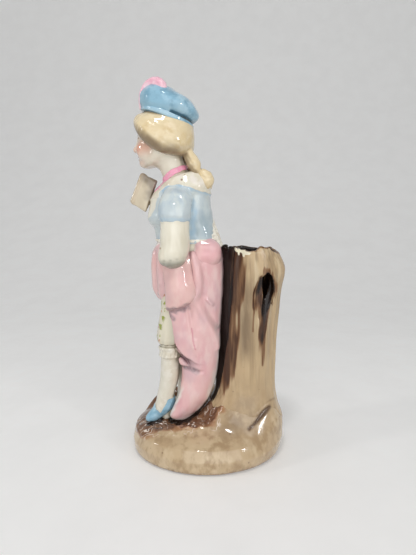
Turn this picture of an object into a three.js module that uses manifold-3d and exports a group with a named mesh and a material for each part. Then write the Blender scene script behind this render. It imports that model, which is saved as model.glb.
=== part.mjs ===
// A glazed porcelain figural bud vase. A child in theatre costume stands on an oval mound, with its
// back against a hollow tree stump that holds the water and the flower stems.
// Millimetres, +Z up. The figure faces -X and its left side, the photographed one, faces -Y.
// The vase is luted together from separately cast and pressed pieces, and each piece is one mesh
// here. Where two pieces meet, the later one is cut to the earlier one with a thin slip joint.
import * as THREE from "three";
import Module from "manifold-3d";

const wasm = await Module();
wasm.setup();

// Driving sizes of the mound.
const moundHalfWidth = 40.5;
const moundHalfDepth = 33;
const moundTop = 16.5; // where the figure stands
const footInset = 2; // how far the flat underside is drawn in from the widest line
const moundDrift = 1.4; // how far the top leans towards the stump
const rockRise = 7; // how far the rock behind the stump stands above the mound's top
const backRise = 8; // the same for the mound's back edge
const rootRise = 8; // how far the mound climbs the foot of the stump
const rootReach = 7.5; // how far that slope runs out
const shoulderRise = 4.6; // a rounded shoulder of rock at the front of the stump's far side
const shoulderReach = 6.5;

// Driving sizes of the stump vase.
const stumpX = 20.7;
const stumpY = 2;
const stumpHalfWidth = 16.4;
const stumpHalfDepth = 15;
const rimBelowWaist = 5; // the broken rim ends just under the figure's waist
const stumpFoot = 4; // the thickness of the mound left under the stump
const stumpWall = 3.4;
const stumpFloor = 5;
const rimRoughness = 1.3;
const fluteDepth = 0.45;
const channelDepth = 1.8; // the channel in the bark beside the figure
const channelAngle = THREE.MathUtils.degToRad(219); // where it lies, round the stump from +X
const channelHalfWidth = THREE.MathUtils.degToRad(10);
const rootToes = 1.6;
const knotDepth = 2.1;
const knotHalfWidth = 4.4;
const knotPlace = 0.54; // how far round the knot sits, as a share of the stump's half-width
const knotLength = 50;
const knotBelowRim = 10;

// Driving sizes of the figure, from the ground up.
const figureX = -11;
const figureY = 0;
const shinLength = 38.5;
const thighLength = 40;
const hipRise = 17;
const torsoLength = 25;
const neckReach = 24; // from the shoulders up to the middle of the head
const headForward = 11; // how far the head's middle stands in front of the body's
const headTurn = THREE.MathUtils.degToRad(12); // the face looks a little away from the left arm
const hipHalfWidth = 12;
const torsoHalfDepth = 15.4;
const torsoHalfWidth = 12.6;
const neckRadius = 6.4;
const headHalfDepth = 13.4;
const headHalfWidth = 10.8;
const headHalfHeight = 12.8;
const noseReach = 2.2;
const hairThickness = 2.6;
const hairRollRadius = 3.6;
const curlRadius = 3.4;
const calfRadius = 4.9;
const soleThickness = 1.1;
const shoeWall = 1;
const kneeBandThickness = 1.1;
const kneeBandHeight = 6;
const breechesRadius = 6.6;
const armRadius = 6.6;
const armStandOff = 2.6; // from the side of the body out to the middle of the arm
const armLength = 34.2;
const sleeveLength = 17;
const sleeveThickness = 0.9;
const wristRadius = 3.2;
const ribbonRadius = 0.9;
const frillThickness = 1.5;
const beretBandRadius = 1.7;
const beretHalfWidth = 15.8;
const beretHalfThickness = 6.4;
const beretTilt = THREE.MathUtils.degToRad(27);
const plumeRadius = 4.6;
const letterHeight = 19.5;
const letterWidth = 13;
const letterLeaf = 1.3;
const letterSpread = THREE.MathUtils.degToRad(26);
const letterTilt = THREE.MathUtils.degToRad(19);
const swagDepth = 5.6; // how far the near swag stands out
const trainHalfWidth = 12;
const trainHalfDepth = 10.6;
const trainTurn = THREE.MathUtils.degToRad(36);

// The slip joint that is left between two luted pieces.
const joint = 0.3;

// Landmarks of the figure, worked out from the sizes above.
const ground = moundTop;
const kneeZ = ground + shinLength;
const hipZ = kneeZ + thighLength;
const waistZ = hipZ + hipRise;
const shoulderZ = waistZ + torsoLength;
const skirtLength = waistZ - ground;
const headX = figureX - headForward;
const headZ = shoulderZ + neckReach;
const rimHeight = waistZ - rimBelowWaist;

const X = new THREE.Vector3(1, 0, 0);
const Y = new THREE.Vector3(0, 1, 0);
const Z = new THREE.Vector3(0, 0, 1);
const segments = 16;
const spanRings = 1;
const capRings = 2;

const colours = {
  tan: { color: 0xbda37e, roughness: 0.22 },
  bark: { color: 0xa98c66, roughness: 0.3 },
  white: { color: 0xe9e3d4, roughness: 0.15 },
  skin: { color: 0xeeddc9, roughness: 0.15 },
  paleBlue: { color: 0xb4cedb, roughness: 0.15 },
  blue: { color: 0x86b7cc, roughness: 0.15 },
  pink: { color: 0xe3b1b9, roughness: 0.2 },
  rose: { color: 0xe58ba3, roughness: 0.15 },
  blonde: { color: 0xdcc291, roughness: 0.18 },
};

// Places on the figure, given as shares of its own sizes. Back is +X and the left side is -Y.
function inLegs([back, across], z) {
  return [figureX + back * torsoHalfDepth, figureY + across * hipHalfWidth, z];
}

function inSkirt(back, across, down) {
  return inLegs([back, across], waistZ - down * skirtLength);
}

function inTorso(back, across, up) {
  return [figureX + back * torsoHalfDepth, figureY + across * torsoHalfWidth, waistZ + up * torsoLength];
}

function inNeck(forward, up) {
  return [figureX - forward * headForward, figureY, shoulderZ + up * neckReach];
}

function inHead(back, across, up) {
  return [headX + back * headHalfDepth, figureY + across * headHalfWidth, headZ + up * headHalfHeight];
}

function between(from, to, share) {
  return new THREE.Vector3(...from).lerp(new THREE.Vector3(...to), share).toArray();
}

function smooth(low, high, value) {
  return THREE.MathUtils.smoothstep(value, low, high);
}

// A bump of height 1 at a middle, dying away over a width.
function bump(value, middle, width) {
  return Math.exp(-(((value - middle) / width) ** 2));
}

// The difference of two angles, between -PI and PI.
function turnBetween(a, b) {
  return Math.atan2(Math.sin(a - b), Math.cos(a - b));
}

// A closed geometry as a solid that can be joined and cut.
function solidOf(geometry) {
  const index = geometry.getIndex();
  return new wasm.Manifold(
    new wasm.Mesh({
      numProp: 3,
      vertProperties: new Float32Array(geometry.getAttribute("position").array),
      triVerts: new Uint32Array(index.array),
    }),
  );
}

// A closed skin drawn through stations along a line. Each station has its middle and its two
// half-widths, a along the side direction and b across it. Level rings stay horizontal, and others
// stand square to the line. caps are the heights of the rounded ends, 0 for a flat end, and
// domeRings says how finely each is drawn. relief adds to the radius by angle and by place along
// the line, and warp moves a finished point.
function loft(stations, options = {}, grow = 0) {
  const { side = X, level = false, caps = [1, 1], around = segments, rings: perSpan = spanRings } = options;
  const { relief = () => 0, warp = null, domeRings = [capRings, capRings] } = options;
  const spine = new THREE.CatmullRomCurve3(stations.map((s) => new THREE.Vector3(...s.at)));
  const widths = new THREE.CatmullRomCurve3(stations.map((s) => new THREE.Vector3(s.a, s.b ?? s.a, 0)));
  const steps = (stations.length - 1) * perSpan;
  const upright = Z.clone().multiplyScalar(Math.sign(stations.at(-1).at[2] - stations[0].at[2]));
  const rings = [];
  const ring = (t, along, scale) => {
    const middle = spine.getPoint(t);
    const tangent = level ? upright : spine.getTangent(t);
    const u = side.clone().addScaledVector(tangent, -side.dot(tangent)).normalize();
    const v = tangent.clone().cross(u);
    const width = widths.getPoint(t);
    middle.addScaledVector(tangent, along);
    const points = [];
    for (let i = 0; i < around; i++) {
      const angle = (i / around) * 2 * Math.PI;
      const swell = relief(angle, t) * scale;
      const point = middle
        .clone()
        .addScaledVector(u, ((width.x + grow) * scale + swell) * Math.cos(angle))
        .addScaledVector(v, ((width.y + grow) * scale + swell) * Math.sin(angle));
      points.push(point);
    }
    rings.push({ points, middle });
  };
  const dome = (t, cap, count, direction) => {
    const height = cap > 0 ? cap + grow : grow;
    const last = cap > 0 ? count - 1 : 0;
    const order = Array.from({ length: last }, (_, i) => ((i + 1) / count) * (Math.PI / 2));
    return { t, height, direction, order };
  };
  const first = dome(0, caps[0], domeRings[0], -1);
  const end = dome(1, caps[1], domeRings[1], 1);
  for (const angle of [...first.order].reverse()) {
    ring(0, -first.height * Math.sin(angle), Math.cos(angle));
  }
  for (let i = 0; i <= steps; i++) {
    const flatStart = i === 0 && caps[0] === 0 ? -grow : 0;
    const flatEnd = i === steps && caps[1] === 0 ? grow : 0;
    ring(i / steps, flatStart + flatEnd, 1);
  }
  for (const angle of end.order) {
    ring(1, end.height * Math.sin(angle), Math.cos(angle));
  }
  const pole = ({ t, height, direction }) => {
    const tangent = level ? upright : spine.getTangent(t);
    return spine.getPoint(t).addScaledVector(tangent, direction * height);
  };
  const vertices = rings.flatMap((r) => r.points);
  const startPole = vertices.push(pole(first)) - 1;
  const endPole = vertices.push(pole(end)) - 1;
  const faces = [];
  const rows = rings.length;
  for (let r = 0; r < rows - 1; r++) {
    for (let i = 0; i < around; i++) {
      const next = (i + 1) % around;
      const [p, q] = [r * around + i, r * around + next];
      faces.push(p, q, q + around, p, q + around, p + around);
    }
  }
  const top = (rows - 1) * around;
  for (let i = 0; i < around; i++) {
    const next = (i + 1) % around;
    faces.push(startPole, next, i);
    faces.push(endPole, top + i, top + next);
  }
  if (warp) vertices.forEach((vertex) => warp(vertex));
  const geometry = new THREE.BufferGeometry().setFromPoints(vertices);
  geometry.setIndex(faces);
  return solidOf(geometry);
}

// A rounded blob with three half-sizes, tipped about Y and turned about Z.
function blob(at, sizes, grow = 0, tip = 0, turn = 0, around = segments) {
  const sphere = new THREE.SphereGeometry(1, around, Math.round(around / 2));
  sphere.rotateX(Math.PI / 2);
  sphere.scale(sizes[0] + grow, sizes[1] + grow, sizes[2] + grow);
  sphere.rotateY(tip);
  sphere.rotateZ(turn);
  sphere.translate(...at);
  return solidOf(welded(sphere));
}

// A ring of round section, stretched to two half-widths, tipped about Y.
function hoop(at, halfLength, halfWidth, radius, grow = 0, tip = 0) {
  const torus = new THREE.TorusGeometry(2, 1, 6, 24);
  const position = torus.getAttribute("position");
  for (let i = 0; i < position.count; i++) {
    const [x, y, z] = [position.getX(i), position.getY(i), position.getZ(i)];
    const angle = Math.atan2(y, x);
    const out = Math.hypot(x, y) - 2;
    const reach = (radius + grow) * out;
    position.setXYZ(
      i,
      (halfLength + reach) * Math.cos(angle),
      (halfWidth + reach) * Math.sin(angle),
      (radius + grow) * z,
    );
  }
  torus.rotateY(tip);
  torus.translate(...at);
  return solidOf(welded(torus));
}

// The same triangles with their shared corners merged.
function welded(geometry) {
  const position = geometry.getAttribute("position");
  const source = geometry.getIndex().array;
  const seen = new Map();
  const points = [];
  const number = Array.from({ length: position.count }, (_, i) => {
    const point = new THREE.Vector3().fromBufferAttribute(position, i);
    const key = point.toArray().map((v) => Math.round(v * 1e4)).join();
    if (!seen.has(key)) seen.set(key, points.push(point) - 1);
    return seen.get(key);
  });
  const faces = [];
  for (let i = 0; i < source.length; i += 3) {
    const [a, b, c] = [number[source[i]], number[source[i + 1]], number[source[i + 2]]];
    if (a !== b && b !== c && c !== a) faces.push(a, b, c);
  }
  const merged = new THREE.BufferGeometry().setFromPoints(points);
  merged.setIndex(faces);
  return merged;
}

function joined(...solids) {
  return solids.reduce((all, next) => all.add(next));
}

// A round tube through points, with the radius given at each.
function limb(points, caps, grow, options = {}) {
  const stations = points.map(([x, y, z, a, b = a]) => ({ at: [x, y, z], a, b }));
  return loft(stations, { caps, ...options }, grow);
}

// The mound: an oval with a flat underside, rising to a rock behind the stump.
function mound(grow) {
  const outline = [
    { up: 0, out: -footInset },
    { up: 0.15, out: -0.036 * moundTop },
    { up: 0.42, out: 0 },
    { up: 0.74, out: -0.12 * moundTop },
    { up: 0.93, out: -0.42 * moundTop },
  ];
  const widest = outline[2].up;
  const stations = outline.map(({ up, out }) => ({
    at: [moundDrift * (up - widest), 0, moundTop * up],
    a: moundHalfWidth + out,
    b: moundHalfDepth + out,
  }));
  const warp = (p) => {
    const share = smooth(0.1, 1, p.z / moundTop);
    const rock = smooth(0.1, 0.75, p.x / moundHalfWidth) * smooth(-0.85, 0.3, p.y / moundHalfDepth);
    const back = smooth(0.32, 0.65, p.y / moundHalfDepth);
    const [x, y] = [(p.x - stumpX) / stumpHalfWidth, (p.y - stumpY) / stumpHalfDepth];
    const beyond = Math.max(0, Math.hypot(x, y) - 1) * stumpHalfDepth;
    const root = rootRise * bump(beyond, 0, rootReach);
    const shoulder = shoulderRise * bump(x, 0.72, shoulderReach / stumpHalfWidth) *
      bump(y, -0.77, shoulderReach / stumpHalfDepth);
    p.z += share * (Math.max(root, rockRise * rock + backRise * back * (1 - rock)) + shoulder);
  };
  const caps = [0, moundTop * 0.07];
  return loft(stations, { level: true, caps, warp, around: 32, domeRings: [1, 6] }, grow);
}

// How far the bark stands out: soft flutes, a deep channel beside the figure, and root toes.
function bark(angle, t) {
  const aside = Math.abs(turnBetween(angle, channelAngle));
  const flutes = fluteDepth * (Math.cos(5 * angle + 0.6) + 0.7 * Math.cos(9 * angle + 2));
  const toes = rootToes * Math.cos(3 * angle - 0.4) * (1 - smooth(0, 0.3, t));
  return flutes + toes - channelDepth * (1 - smooth(channelHalfWidth, 1.7 * channelHalfWidth, aside));
}

// The trunk's outside. The cavity is the same form drawn in by the wall.
function trunk(foot, top, grow, roughRim = 0) {
  const outline = [
    { up: 0, shift: -0.06, wide: 1.04, deep: 1.04 },
    { up: 0.1, shift: -0.085, wide: 1.2, deep: 1.24 },
    { up: 0.19, shift: -0.05, wide: 1.08, deep: 1.12 },
    { up: 0.32, shift: -0.02, wide: 1, deep: 1 },
    { up: 0.52, shift: -0.02, wide: 0.97, deep: 0.97 },
    { up: 0.74, shift: 0.04, wide: 1.01, deep: 1 },
    { up: 0.83, shift: 0.09, wide: 1.05, deep: 1.02 },
    { up: 0.91, shift: 0.08, wide: 1.05, deep: 1.02 },
    { up: 1, shift: -0.01, wide: 0.87, deep: 0.95 },
  ];
  const stations = outline.map(({ up, shift, wide, deep }) => ({
    at: [stumpX + shift * stumpHalfWidth, stumpY, foot + up * (top - foot)],
    a: stumpHalfWidth * wide,
    b: stumpHalfDepth * deep,
  }));
  const warp = (p) => {
    const angle = Math.atan2(p.y - stumpY, p.x - stumpX);
    const share = smooth(0.86, 1, (p.z - foot) / (top - foot));
    p.z += share * roughRim * (Math.cos(3 * angle + 0.5) + 0.5 * Math.cos(7 * angle + 1));
  };
  return loft(stations, { level: true, caps: [0, 0], relief: bark, warp, around: 32 }, grow);
}

// The knot: a long drop-shaped hollow in the bark, widest near its top.
function knot() {
  const inward = Math.sqrt(1 - knotPlace ** 2);
  const side = new THREE.Vector3(stumpHalfWidth * inward, stumpHalfDepth * knotPlace, 0).normalize();
  const bottom = rimHeight - knotBelowRim - knotLength;
  const station = (up, slide, wide, deep) => ({
    at: [
      stumpX + stumpHalfWidth * knotPlace + slide * knotHalfWidth * side.x,
      stumpY - stumpHalfDepth * inward + slide * knotHalfWidth * side.y,
      bottom + knotLength * up,
    ],
    a: knotHalfWidth * wide,
    b: knotDepth * deep,
  });
  const stations = [
    station(0, -0.45, 0.12, 0.5),
    station(0.3, -0.5, 0.36, 0.8),
    station(0.62, -0.5, 0.82, 1),
    station(0.86, -0.32, 0.95, 1),
  ];
  const caps = [knotHalfWidth * 0.14, knotLength * 0.14];
  return loft(stations, { side, level: true, caps, around: 12, rings: 2 });
}

function stump(grow) {
  return trunk(stumpFoot, rimHeight, grow, rimRoughness);
}

// The stump as made: hollow down to its floor, open at the broken rim, with the knot pressed in.
function stumpVase() {
  const above = rimHeight + 6 * rimRoughness;
  const cavity = trunk(stumpFoot, above, -stumpWall);
  const reach = 4 * (stumpHalfWidth + stumpX);
  const floorBlock = new THREE.BoxGeometry(reach, reach, stumpFoot + stumpFloor + reach);
  floorBlock.translate(0, 0, (stumpFoot + stumpFloor - reach) / 2);
  return stump(0).subtract(cavity.subtract(solidOf(welded(floorBlock)))).subtract(knot());
}

// The two legs, as shares of the body: the left steps forward and the right stands behind it.
const legs = {
  left: {
    hip: [-0.23, -0.42],
    knee: [-0.61, -0.37],
    calf: [-0.6, -0.33],
    ankle: [-0.73, -0.2],
    toe: [-1.19, -0.53],
  },
  right: {
    hip: [-0.06, 0.42],
    knee: [-0.16, 0.47],
    calf: [-0.1, 0.5],
    ankle: [-0.14, 0.53],
    toe: [-0.68, 0.78],
  },
};

// A place along the foot, from 0 at the ankle to 1 at the toe.
function alongFoot(leg, share, height) {
  return between(inLegs(leg.ankle, height), inLegs(leg.toe, height), share);
}

// One leg in its stocking, from inside the breeches down to the foot.
function stocking(leg, grow) {
  const upShin = (share) => ground + share * shinLength;
  const shank = [
    [...inLegs(leg.knee, upShin(1.18)), calfRadius * 0.9],
    [...inLegs(leg.knee, upShin(0.9)), calfRadius * 0.96],
    [...inLegs(leg.calf, upShin(0.66)), calfRadius],
    [...inLegs(leg.calf, upShin(0.39)), calfRadius * 0.82],
    [...inLegs(leg.ankle, upShin(0.2)), calfRadius * 0.66],
    [...inLegs(leg.ankle, upShin(0.1)), calfRadius * 0.6],
  ];
  const footPart = (share, radius) => [
    ...alongFoot(leg, share, ground + soleThickness + joint + calfRadius * radius),
    calfRadius * radius,
  ];
  const foot = [footPart(-0.12, 0.44), footPart(0.45, 0.42), footPart(0.8, 0.28)];
  const toeCap = calfRadius * 0.2;
  return joined(
    limb(shank, [calfRadius * 0.3, calfRadius * 0.2], grow, { around: 14 }),
    limb(foot, [toeCap, toeCap], grow, { around: 12 }),
  );
}

// A low-cut shoe over the foot, later cut to the foot, so that it stays open above.
function shoe(leg, grow) {
  const thick = calfRadius * 0.44 + shoeWall;
  const part = (share, wide, high) => [
    ...alongFoot(leg, share, ground + thick * 0.84 * high),
    thick * high,
    thick * wide,
  ];
  const heel = [part(-0.3, 1.02, 0.94), part(0.3, 1.04, 0.96)];
  const toe = [part(0.7, 0.96, 0.88), part(1, 0.56, 0.54)];
  return limb([...heel, ...toe], [shoeWall, shoeWall], grow, { around: 14, side: Z });
}

function kneeBand(leg, grow) {
  const radius = calfRadius + kneeBandThickness;
  const station = (up, wide) => ({
    at: inLegs(leg.knee, kneeZ - kneeBandHeight * (1 - up)),
    a: radius * wide,
  });
  const stations = [station(0.1, 0.95), station(0.3, 1), station(0.7, 1.02), station(0.9, 0.95)];
  const cap = kneeBandHeight * 0.08;
  return loft(stations, { level: true, caps: [cap, cap] }, grow);
}

// The white breeches: a pelvis and two full thighs, gathered above the knee bands.
function breeches(grow) {
  const thigh = (leg) => {
    const part = (up, wide) => [
      ...between(inLegs(leg.knee, kneeZ), inLegs(leg.hip, kneeZ), smooth(0, 1, up)).slice(0, 2),
      kneeZ + thighLength * up,
      breechesRadius * wide,
    ];
    const profile = [part(0.035, 0.8), part(0.125, 1), part(0.38, 1.14), part(0.72, 1.25), part(1, 1.3)];
    return limb(profile, [thighLength * 0.02, thighLength * 0.08], grow, { level: true });
  };
  const seat = (back, z, deep, wide) => ({
    at: inLegs([back, 0], z),
    a: torsoHalfDepth * deep,
    b: hipHalfWidth * wide,
  });
  const pelvis = loft(
    [
      seat(-0.13, kneeZ + thighLength * 0.66, 0.58, 0.8),
      seat(-0.06, hipZ, 0.85, 1),
      seat(0, waistZ - 4 * joint, 0.86, 0.92),
    ],
    { level: true, caps: [thighLength * 0.12, 0] },
    grow,
  );
  return joined(pelvis, thigh(legs.left), thigh(legs.right));
}

// The blue jacket, from the waist to the shoulders, full in the chest.
function jacket(grow) {
  const station = (up, back, deep, wide) => ({
    at: inTorso(back, 0, up),
    a: torsoHalfDepth * deep,
    b: torsoHalfWidth * wide,
  });
  const stations = [
    station(0, 0.05, 0.96, 0.86),
    station(0.26, -0.01, 1, 0.92),
    station(0.54, -0.12, 1.06, 1),
    station(0.82, -0.065, 0.96, 1.02),
    station(1, -0.065, 0.8, 0.84),
  ];
  return loft(stations, { level: true, caps: [0, torsoLength * 0.12] }, grow);
}

// The white lace at the waist: a hem under the jacket that fans out at the back.
function waistFrill(grow) {
  const middle = [...inTorso(0.05, 0, 0).slice(0, 2), waistZ - 3 * joint];
  const hem = hoop(middle, torsoHalfDepth * 0.93, torsoHalfWidth * 0.84, frillThickness, grow);
  const part = (back, up, thick, wide) => ({
    at: inTorso(back, 0, up),
    a: frillThickness * thick,
    b: torsoHalfWidth * wide,
  });
  const fan = loft(
    [part(0.87, 0.34, 0.8, 0.32), part(1.08, 0.12, 1.3, 0.6), part(1.17, -0.12, 1.7, 0.71)],
    { caps: [frillThickness * 0.5, frillThickness * 0.7] },
    grow,
  );
  return joined(hem, fan);
}

// The neck and head, cast as one. The face looks along -X, turned a little away.
function head(grow) {
  const turned = (back, up) => {
    const reach = back * headHalfDepth;
    return [
      headX + reach * Math.cos(headTurn),
      figureY - reach * Math.sin(headTurn),
      headZ + up * headHalfHeight,
    ];
  };
  const cranium = blob(inHead(0, 0, 0), [headHalfDepth, headHalfWidth, headHalfHeight], grow, 0, -headTurn);
  const face = loft(
    [
      { at: turned(-0.42, 0.23), a: headHalfDepth * 0.72, b: headHalfWidth * 0.84 },
      { at: turned(-0.45, -0.39), a: headHalfDepth * 0.68, b: headHalfWidth * 0.74 },
      { at: turned(-0.5, -0.83), a: headHalfDepth * 0.5, b: headHalfWidth * 0.46 },
    ],
    { level: true, caps: [headHalfHeight * 0.3, headHalfHeight * 0.19] },
    grow,
  );
  const noseSizes = [noseReach, noseReach * 0.78, noseReach * 1.1];
  const nose = blob(turned(-1.09, -0.28), noseSizes, grow, 0, -headTurn, 12);
  const neck = limb(
    [
      [...inNeck(0.27, -0.04), neckRadius * 1.25],
      [...inNeck(0.45, 0.21), neckRadius * 1.06],
      [...inNeck(0.67, 0.5), neckRadius],
      [...inNeck(0.82, 0.75), neckRadius],
    ],
    [neckRadius * 0.16, neckRadius * 0.16],
    grow,
  );
  return joined(cranium, face, nose, neck);
}

// The white kerchief round the shoulders. It stands high at the nape and drops to the front.
function kerchief(grow) {
  const rise = 0.34;
  const slope = (p) => {
    const behind = p.x - figureX + 0.2 * torsoHalfDepth;
    const high = waistZ + 1.12 * torsoLength;
    p.z += rise * behind * smooth(waistZ + 0.864 * torsoLength, high, p.z);
  };
  return loft(
    [
      { at: inTorso(-0.08, 0, 0.864), a: torsoHalfDepth * 0.94, b: torsoHalfWidth },
      { at: inTorso(-0.12, 0, 1.024), a: torsoHalfDepth * 0.86, b: torsoHalfWidth * 0.86 },
      { at: inTorso(-0.21, 0, 1.216), a: neckRadius * 1.46, b: neckRadius * 1.24 },
    ],
    { level: true, caps: [0, neckRadius * 0.25], warp: slope },
    grow,
  );
}

// The pink ribbon: a band that slopes round the neck, with an end down the front.
function neckRibbon(grow) {
  const slope = THREE.MathUtils.degToRad(-29);
  const band = hoop(inNeck(0.55, 0.233), neckRadius * 1.46, neckRadius * 1.24, ribbonRadius, grow, slope);
  const end = limb(
    [
      [...inTorso(-0.92, 0, 1.056), ribbonRadius],
      [...inTorso(-1.065, 0, 0.88), ribbonRadius],
      [...inTorso(-1.16, 0, 0.68), ribbonRadius],
    ],
    [ribbonRadius * 0.7, ribbonRadius * 0.9],
    grow,
    { around: 10 },
  );
  return joined(band, end);
}

// The rolled-back hair: a thick cap round the head, open over the face, with a roll round it.
function hair(grow) {
  const cap = blob(
    inHead(0.03, 0, 0.2),
    [headHalfDepth + hairThickness, headHalfWidth + hairThickness, headHalfHeight * 0.84],
    grow,
    THREE.MathUtils.degToRad(8),
    -headTurn,
  );
  const roll = limb(
    [
      [...inHead(-1.02, 0.28, 0.73), hairRollRadius * 0.72],
      [...inHead(-0.71, -0.81, 0.36), hairRollRadius * 0.94],
      [...inHead(-0.15, -1.04, -0.05), hairRollRadius],
      [...inHead(0.6, -0.72, -0.3), hairRollRadius],
      [...inHead(0.97, -0.09, -0.42), hairRollRadius * 0.94],
      [...inHead(0.6, 0.72, -0.3), hairRollRadius],
      [...inHead(-0.1, 1.07, -0.05), hairRollRadius],
      [...inHead(-0.61, 0.96, 0.36), hairRollRadius * 0.94],
      [...inHead(-1.02, 0.31, 0.73), hairRollRadius * 0.72],
    ],
    [hairRollRadius * 0.28, hairRollRadius * 0.28],
    grow,
    { side: Z, around: 10 },
  );
  const opening = blob(
    inHead(-1.39, 0.28, -0.58),
    [headHalfDepth * 1.16, headHalfWidth * 0.92, headHalfHeight * 0.98],
    -grow,
    THREE.MathUtils.degToRad(-12),
    -headTurn,
    12,
  );
  return joined(cap.subtract(opening), roll);
}

// A ringlet: two swelling turns one below the other, placed from the middle of the head.
function ringlet(back, across, drop, grow) {
  const part = (behind, down, wide) => {
    const [x, y, z] = inHead(back, across, -down - drop);
    return [x + behind * curlRadius, y, z, curlRadius * wide];
  };
  return limb(
    [
      part(-0.76, 0.7, 0.8),
      part(-0.06, 1.06, 1.1),
      part(0.82, 1.36, 0.8),
      part(1.82, 1.58, 1.08),
      part(2.06, 1.83, 0.7),
    ],
    [curlRadius * 0.5, curlRadius * 0.4],
    grow,
    { around: 12, rings: 2 },
  );
}

function beretBand(grow) {
  const length = headHalfDepth * 1.05;
  const width = headHalfWidth * 1.08;
  return hoop(inHead(0.075, 0, 0.81), length, width, beretBandRadius, grow, beretTilt * 0.8);
}

// The crown: a flat puffed disc that droops to the back, over a low band inside it.
const beretMiddle = inHead(0.13, 0, 1.3);
function beretCrown(grow) {
  const sizes = [beretHalfWidth, beretHalfWidth * 0.92, beretHalfThickness];
  const lining = [headHalfDepth, headHalfWidth, headHalfHeight * 0.31];
  return joined(
    blob(beretMiddle, sizes, grow, beretTilt, 0, 18),
    blob(inHead(0.03, 0, 0.9), lining, grow, beretTilt * 0.8, 0, 12),
  );
}

// The plume rises from the band at the front and curls over the crown.
function plume(grow) {
  const [x, y, z] = beretMiddle;
  const part = (back, across, up, wide) => [
    x + back * beretHalfWidth,
    y + across * beretHalfWidth,
    z + up * beretHalfThickness,
    plumeRadius * wide,
  ];
  return limb(
    [
      part(-0.9, -0.06, -0.31, 0.34),
      part(-0.87, -0.06, 0.59, 0.42),
      part(-0.63, -0.06, 1.19, 0.8),
      part(-0.33, -0.13, 1.25, 1),
      part(-0.08, -0.29, 0.84, 0.74),
      part(0.03, -0.4, 0.31, 0.36),
    ],
    [plumeRadius * 0.2, plumeRadius * 0.2],
    grow,
    { side: Y, around: 12, rings: 2 },
  );
}

const armX = figureX - 0.25 * torsoHalfDepth;
const armY = torsoHalfWidth + armStandOff;
const sleeveEnd = shoulderZ - sleeveLength;

// The near arm hangs straight, and its hand is sunk in the swag.
function leftArm(grow) {
  const y = figureY - armY;
  const handZ = shoulderZ - armLength;
  const inside = sleeveLength * 0.25;
  return limb(
    [
      [armX, y + joint * 3, sleeveEnd + inside, armRadius * 0.94],
      [armX, y, sleeveEnd - inside, armRadius],
      [armX, y, handZ + armRadius * 0.65, armRadius * 1.02],
      [armX, y, handZ, armRadius * 0.94],
    ],
    [armRadius * 0.15, armRadius * 0.5],
    grow,
    { level: true },
  );
}

function sleeve(side, grow) {
  const radius = armRadius + sleeveThickness;
  const part = (out, down, wide) => [
    armX,
    figureY + side * out * armY,
    shoulderZ - down * sleeveLength,
    radius * wide,
  ];
  return limb(
    [part(0.57, 0.21, 0.84), part(0.78, 0.47, 0.98), part(0.97, 0.76, 1), part(1, 0.98, 1.02)],
    [radius * 0.45, radius * 0.08],
    grow,
    { level: true },
  );
}

// The far arm: bent at the elbow, with its hand raised to hold the letter.
const elbowAt = inTorso(-0.32, 1.35, 0.056);
const handAt = inTorso(-1.19, 0.52, 0.82);
function rightArm(grow) {
  const shoulder = [armX, figureY + armY, sleeveEnd + sleeveLength * 0.24];
  const upper = limb(
    [
      [...shoulder, armRadius * 0.9],
      [...between(shoulder, elbowAt, 0.6), armRadius * 0.86],
      [...elbowAt, armRadius * 0.8],
    ],
    [armRadius * 0.15, armRadius * 0.36],
    grow,
  );
  const lower = limb(
    [
      [...elbowAt, armRadius * 0.76],
      [...between(elbowAt, handAt, 0.36), armRadius * 0.68],
      [...between(elbowAt, handAt, 0.7), wristRadius * 1.1],
      [...between(elbowAt, handAt, 0.95), wristRadius * 0.94],
    ],
    [armRadius * 0.36, wristRadius * 0.3],
    grow,
  );
  const palm = [wristRadius * 1.12, wristRadius * 0.88, wristRadius * 1.38];
  const hand = blob(handAt, palm, grow, THREE.MathUtils.degToRad(-20), 0, 14);
  return joined(upper, lower, hand);
}

// A folded sheet: two leaves joined along a spine that points away from the reader.
function letter(grow) {
  const height = letterHeight + 2 * grow;
  const leaf = (turn) => {
    const sheet = new THREE.BoxGeometry(letterWidth + 2 * grow, letterLeaf + 2 * grow, height);
    sheet.translate(letterWidth / 2, 0, 0);
    sheet.rotateZ(turn);
    return sheet;
  };
  const spine = new THREE.CylinderGeometry(letterLeaf + grow, letterLeaf + grow, height, 12);
  spine.rotateX(Math.PI / 2);
  const [x, y, z] = handAt;
  const placed = [leaf(-letterSpread / 2), leaf(letterSpread / 2), spine].map((geometry) => {
    geometry.rotateY(letterTilt);
    geometry.translate(x - letterWidth * 0.45, y - letterWidth * 0.32, z + letterHeight * 0.18);
    return solidOf(welded(geometry));
  });
  return joined(...placed);
}

// A fold of the pink overskirt: its place as shares of the skirt, and its two half-widths.
function fold(back, across, down, a, b) {
  return { at: inSkirt(back, across, down), a, b };
}

// The near swag of the overskirt: a full drop gathered under the hand.
function leftSwag(grow) {
  const station = (back, across, down, long, deep) =>
    fold(back, across, down, torsoHalfDepth * long, swagDepth * deep);
  return loft(
    [
      station(-0.23, -0.95, 0.063, 0.42, 0.7),
      station(-0.23, -1, 0.168, 0.53, 1),
      station(-0.22, -1.02, 0.272, 0.56, 1.04),
      station(-0.26, -0.95, 0.329, 0.43, 0.8),
    ],
    { level: true, caps: [swagDepth * 0.36, swagDepth * 0.46] },
    grow,
  );
}

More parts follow.
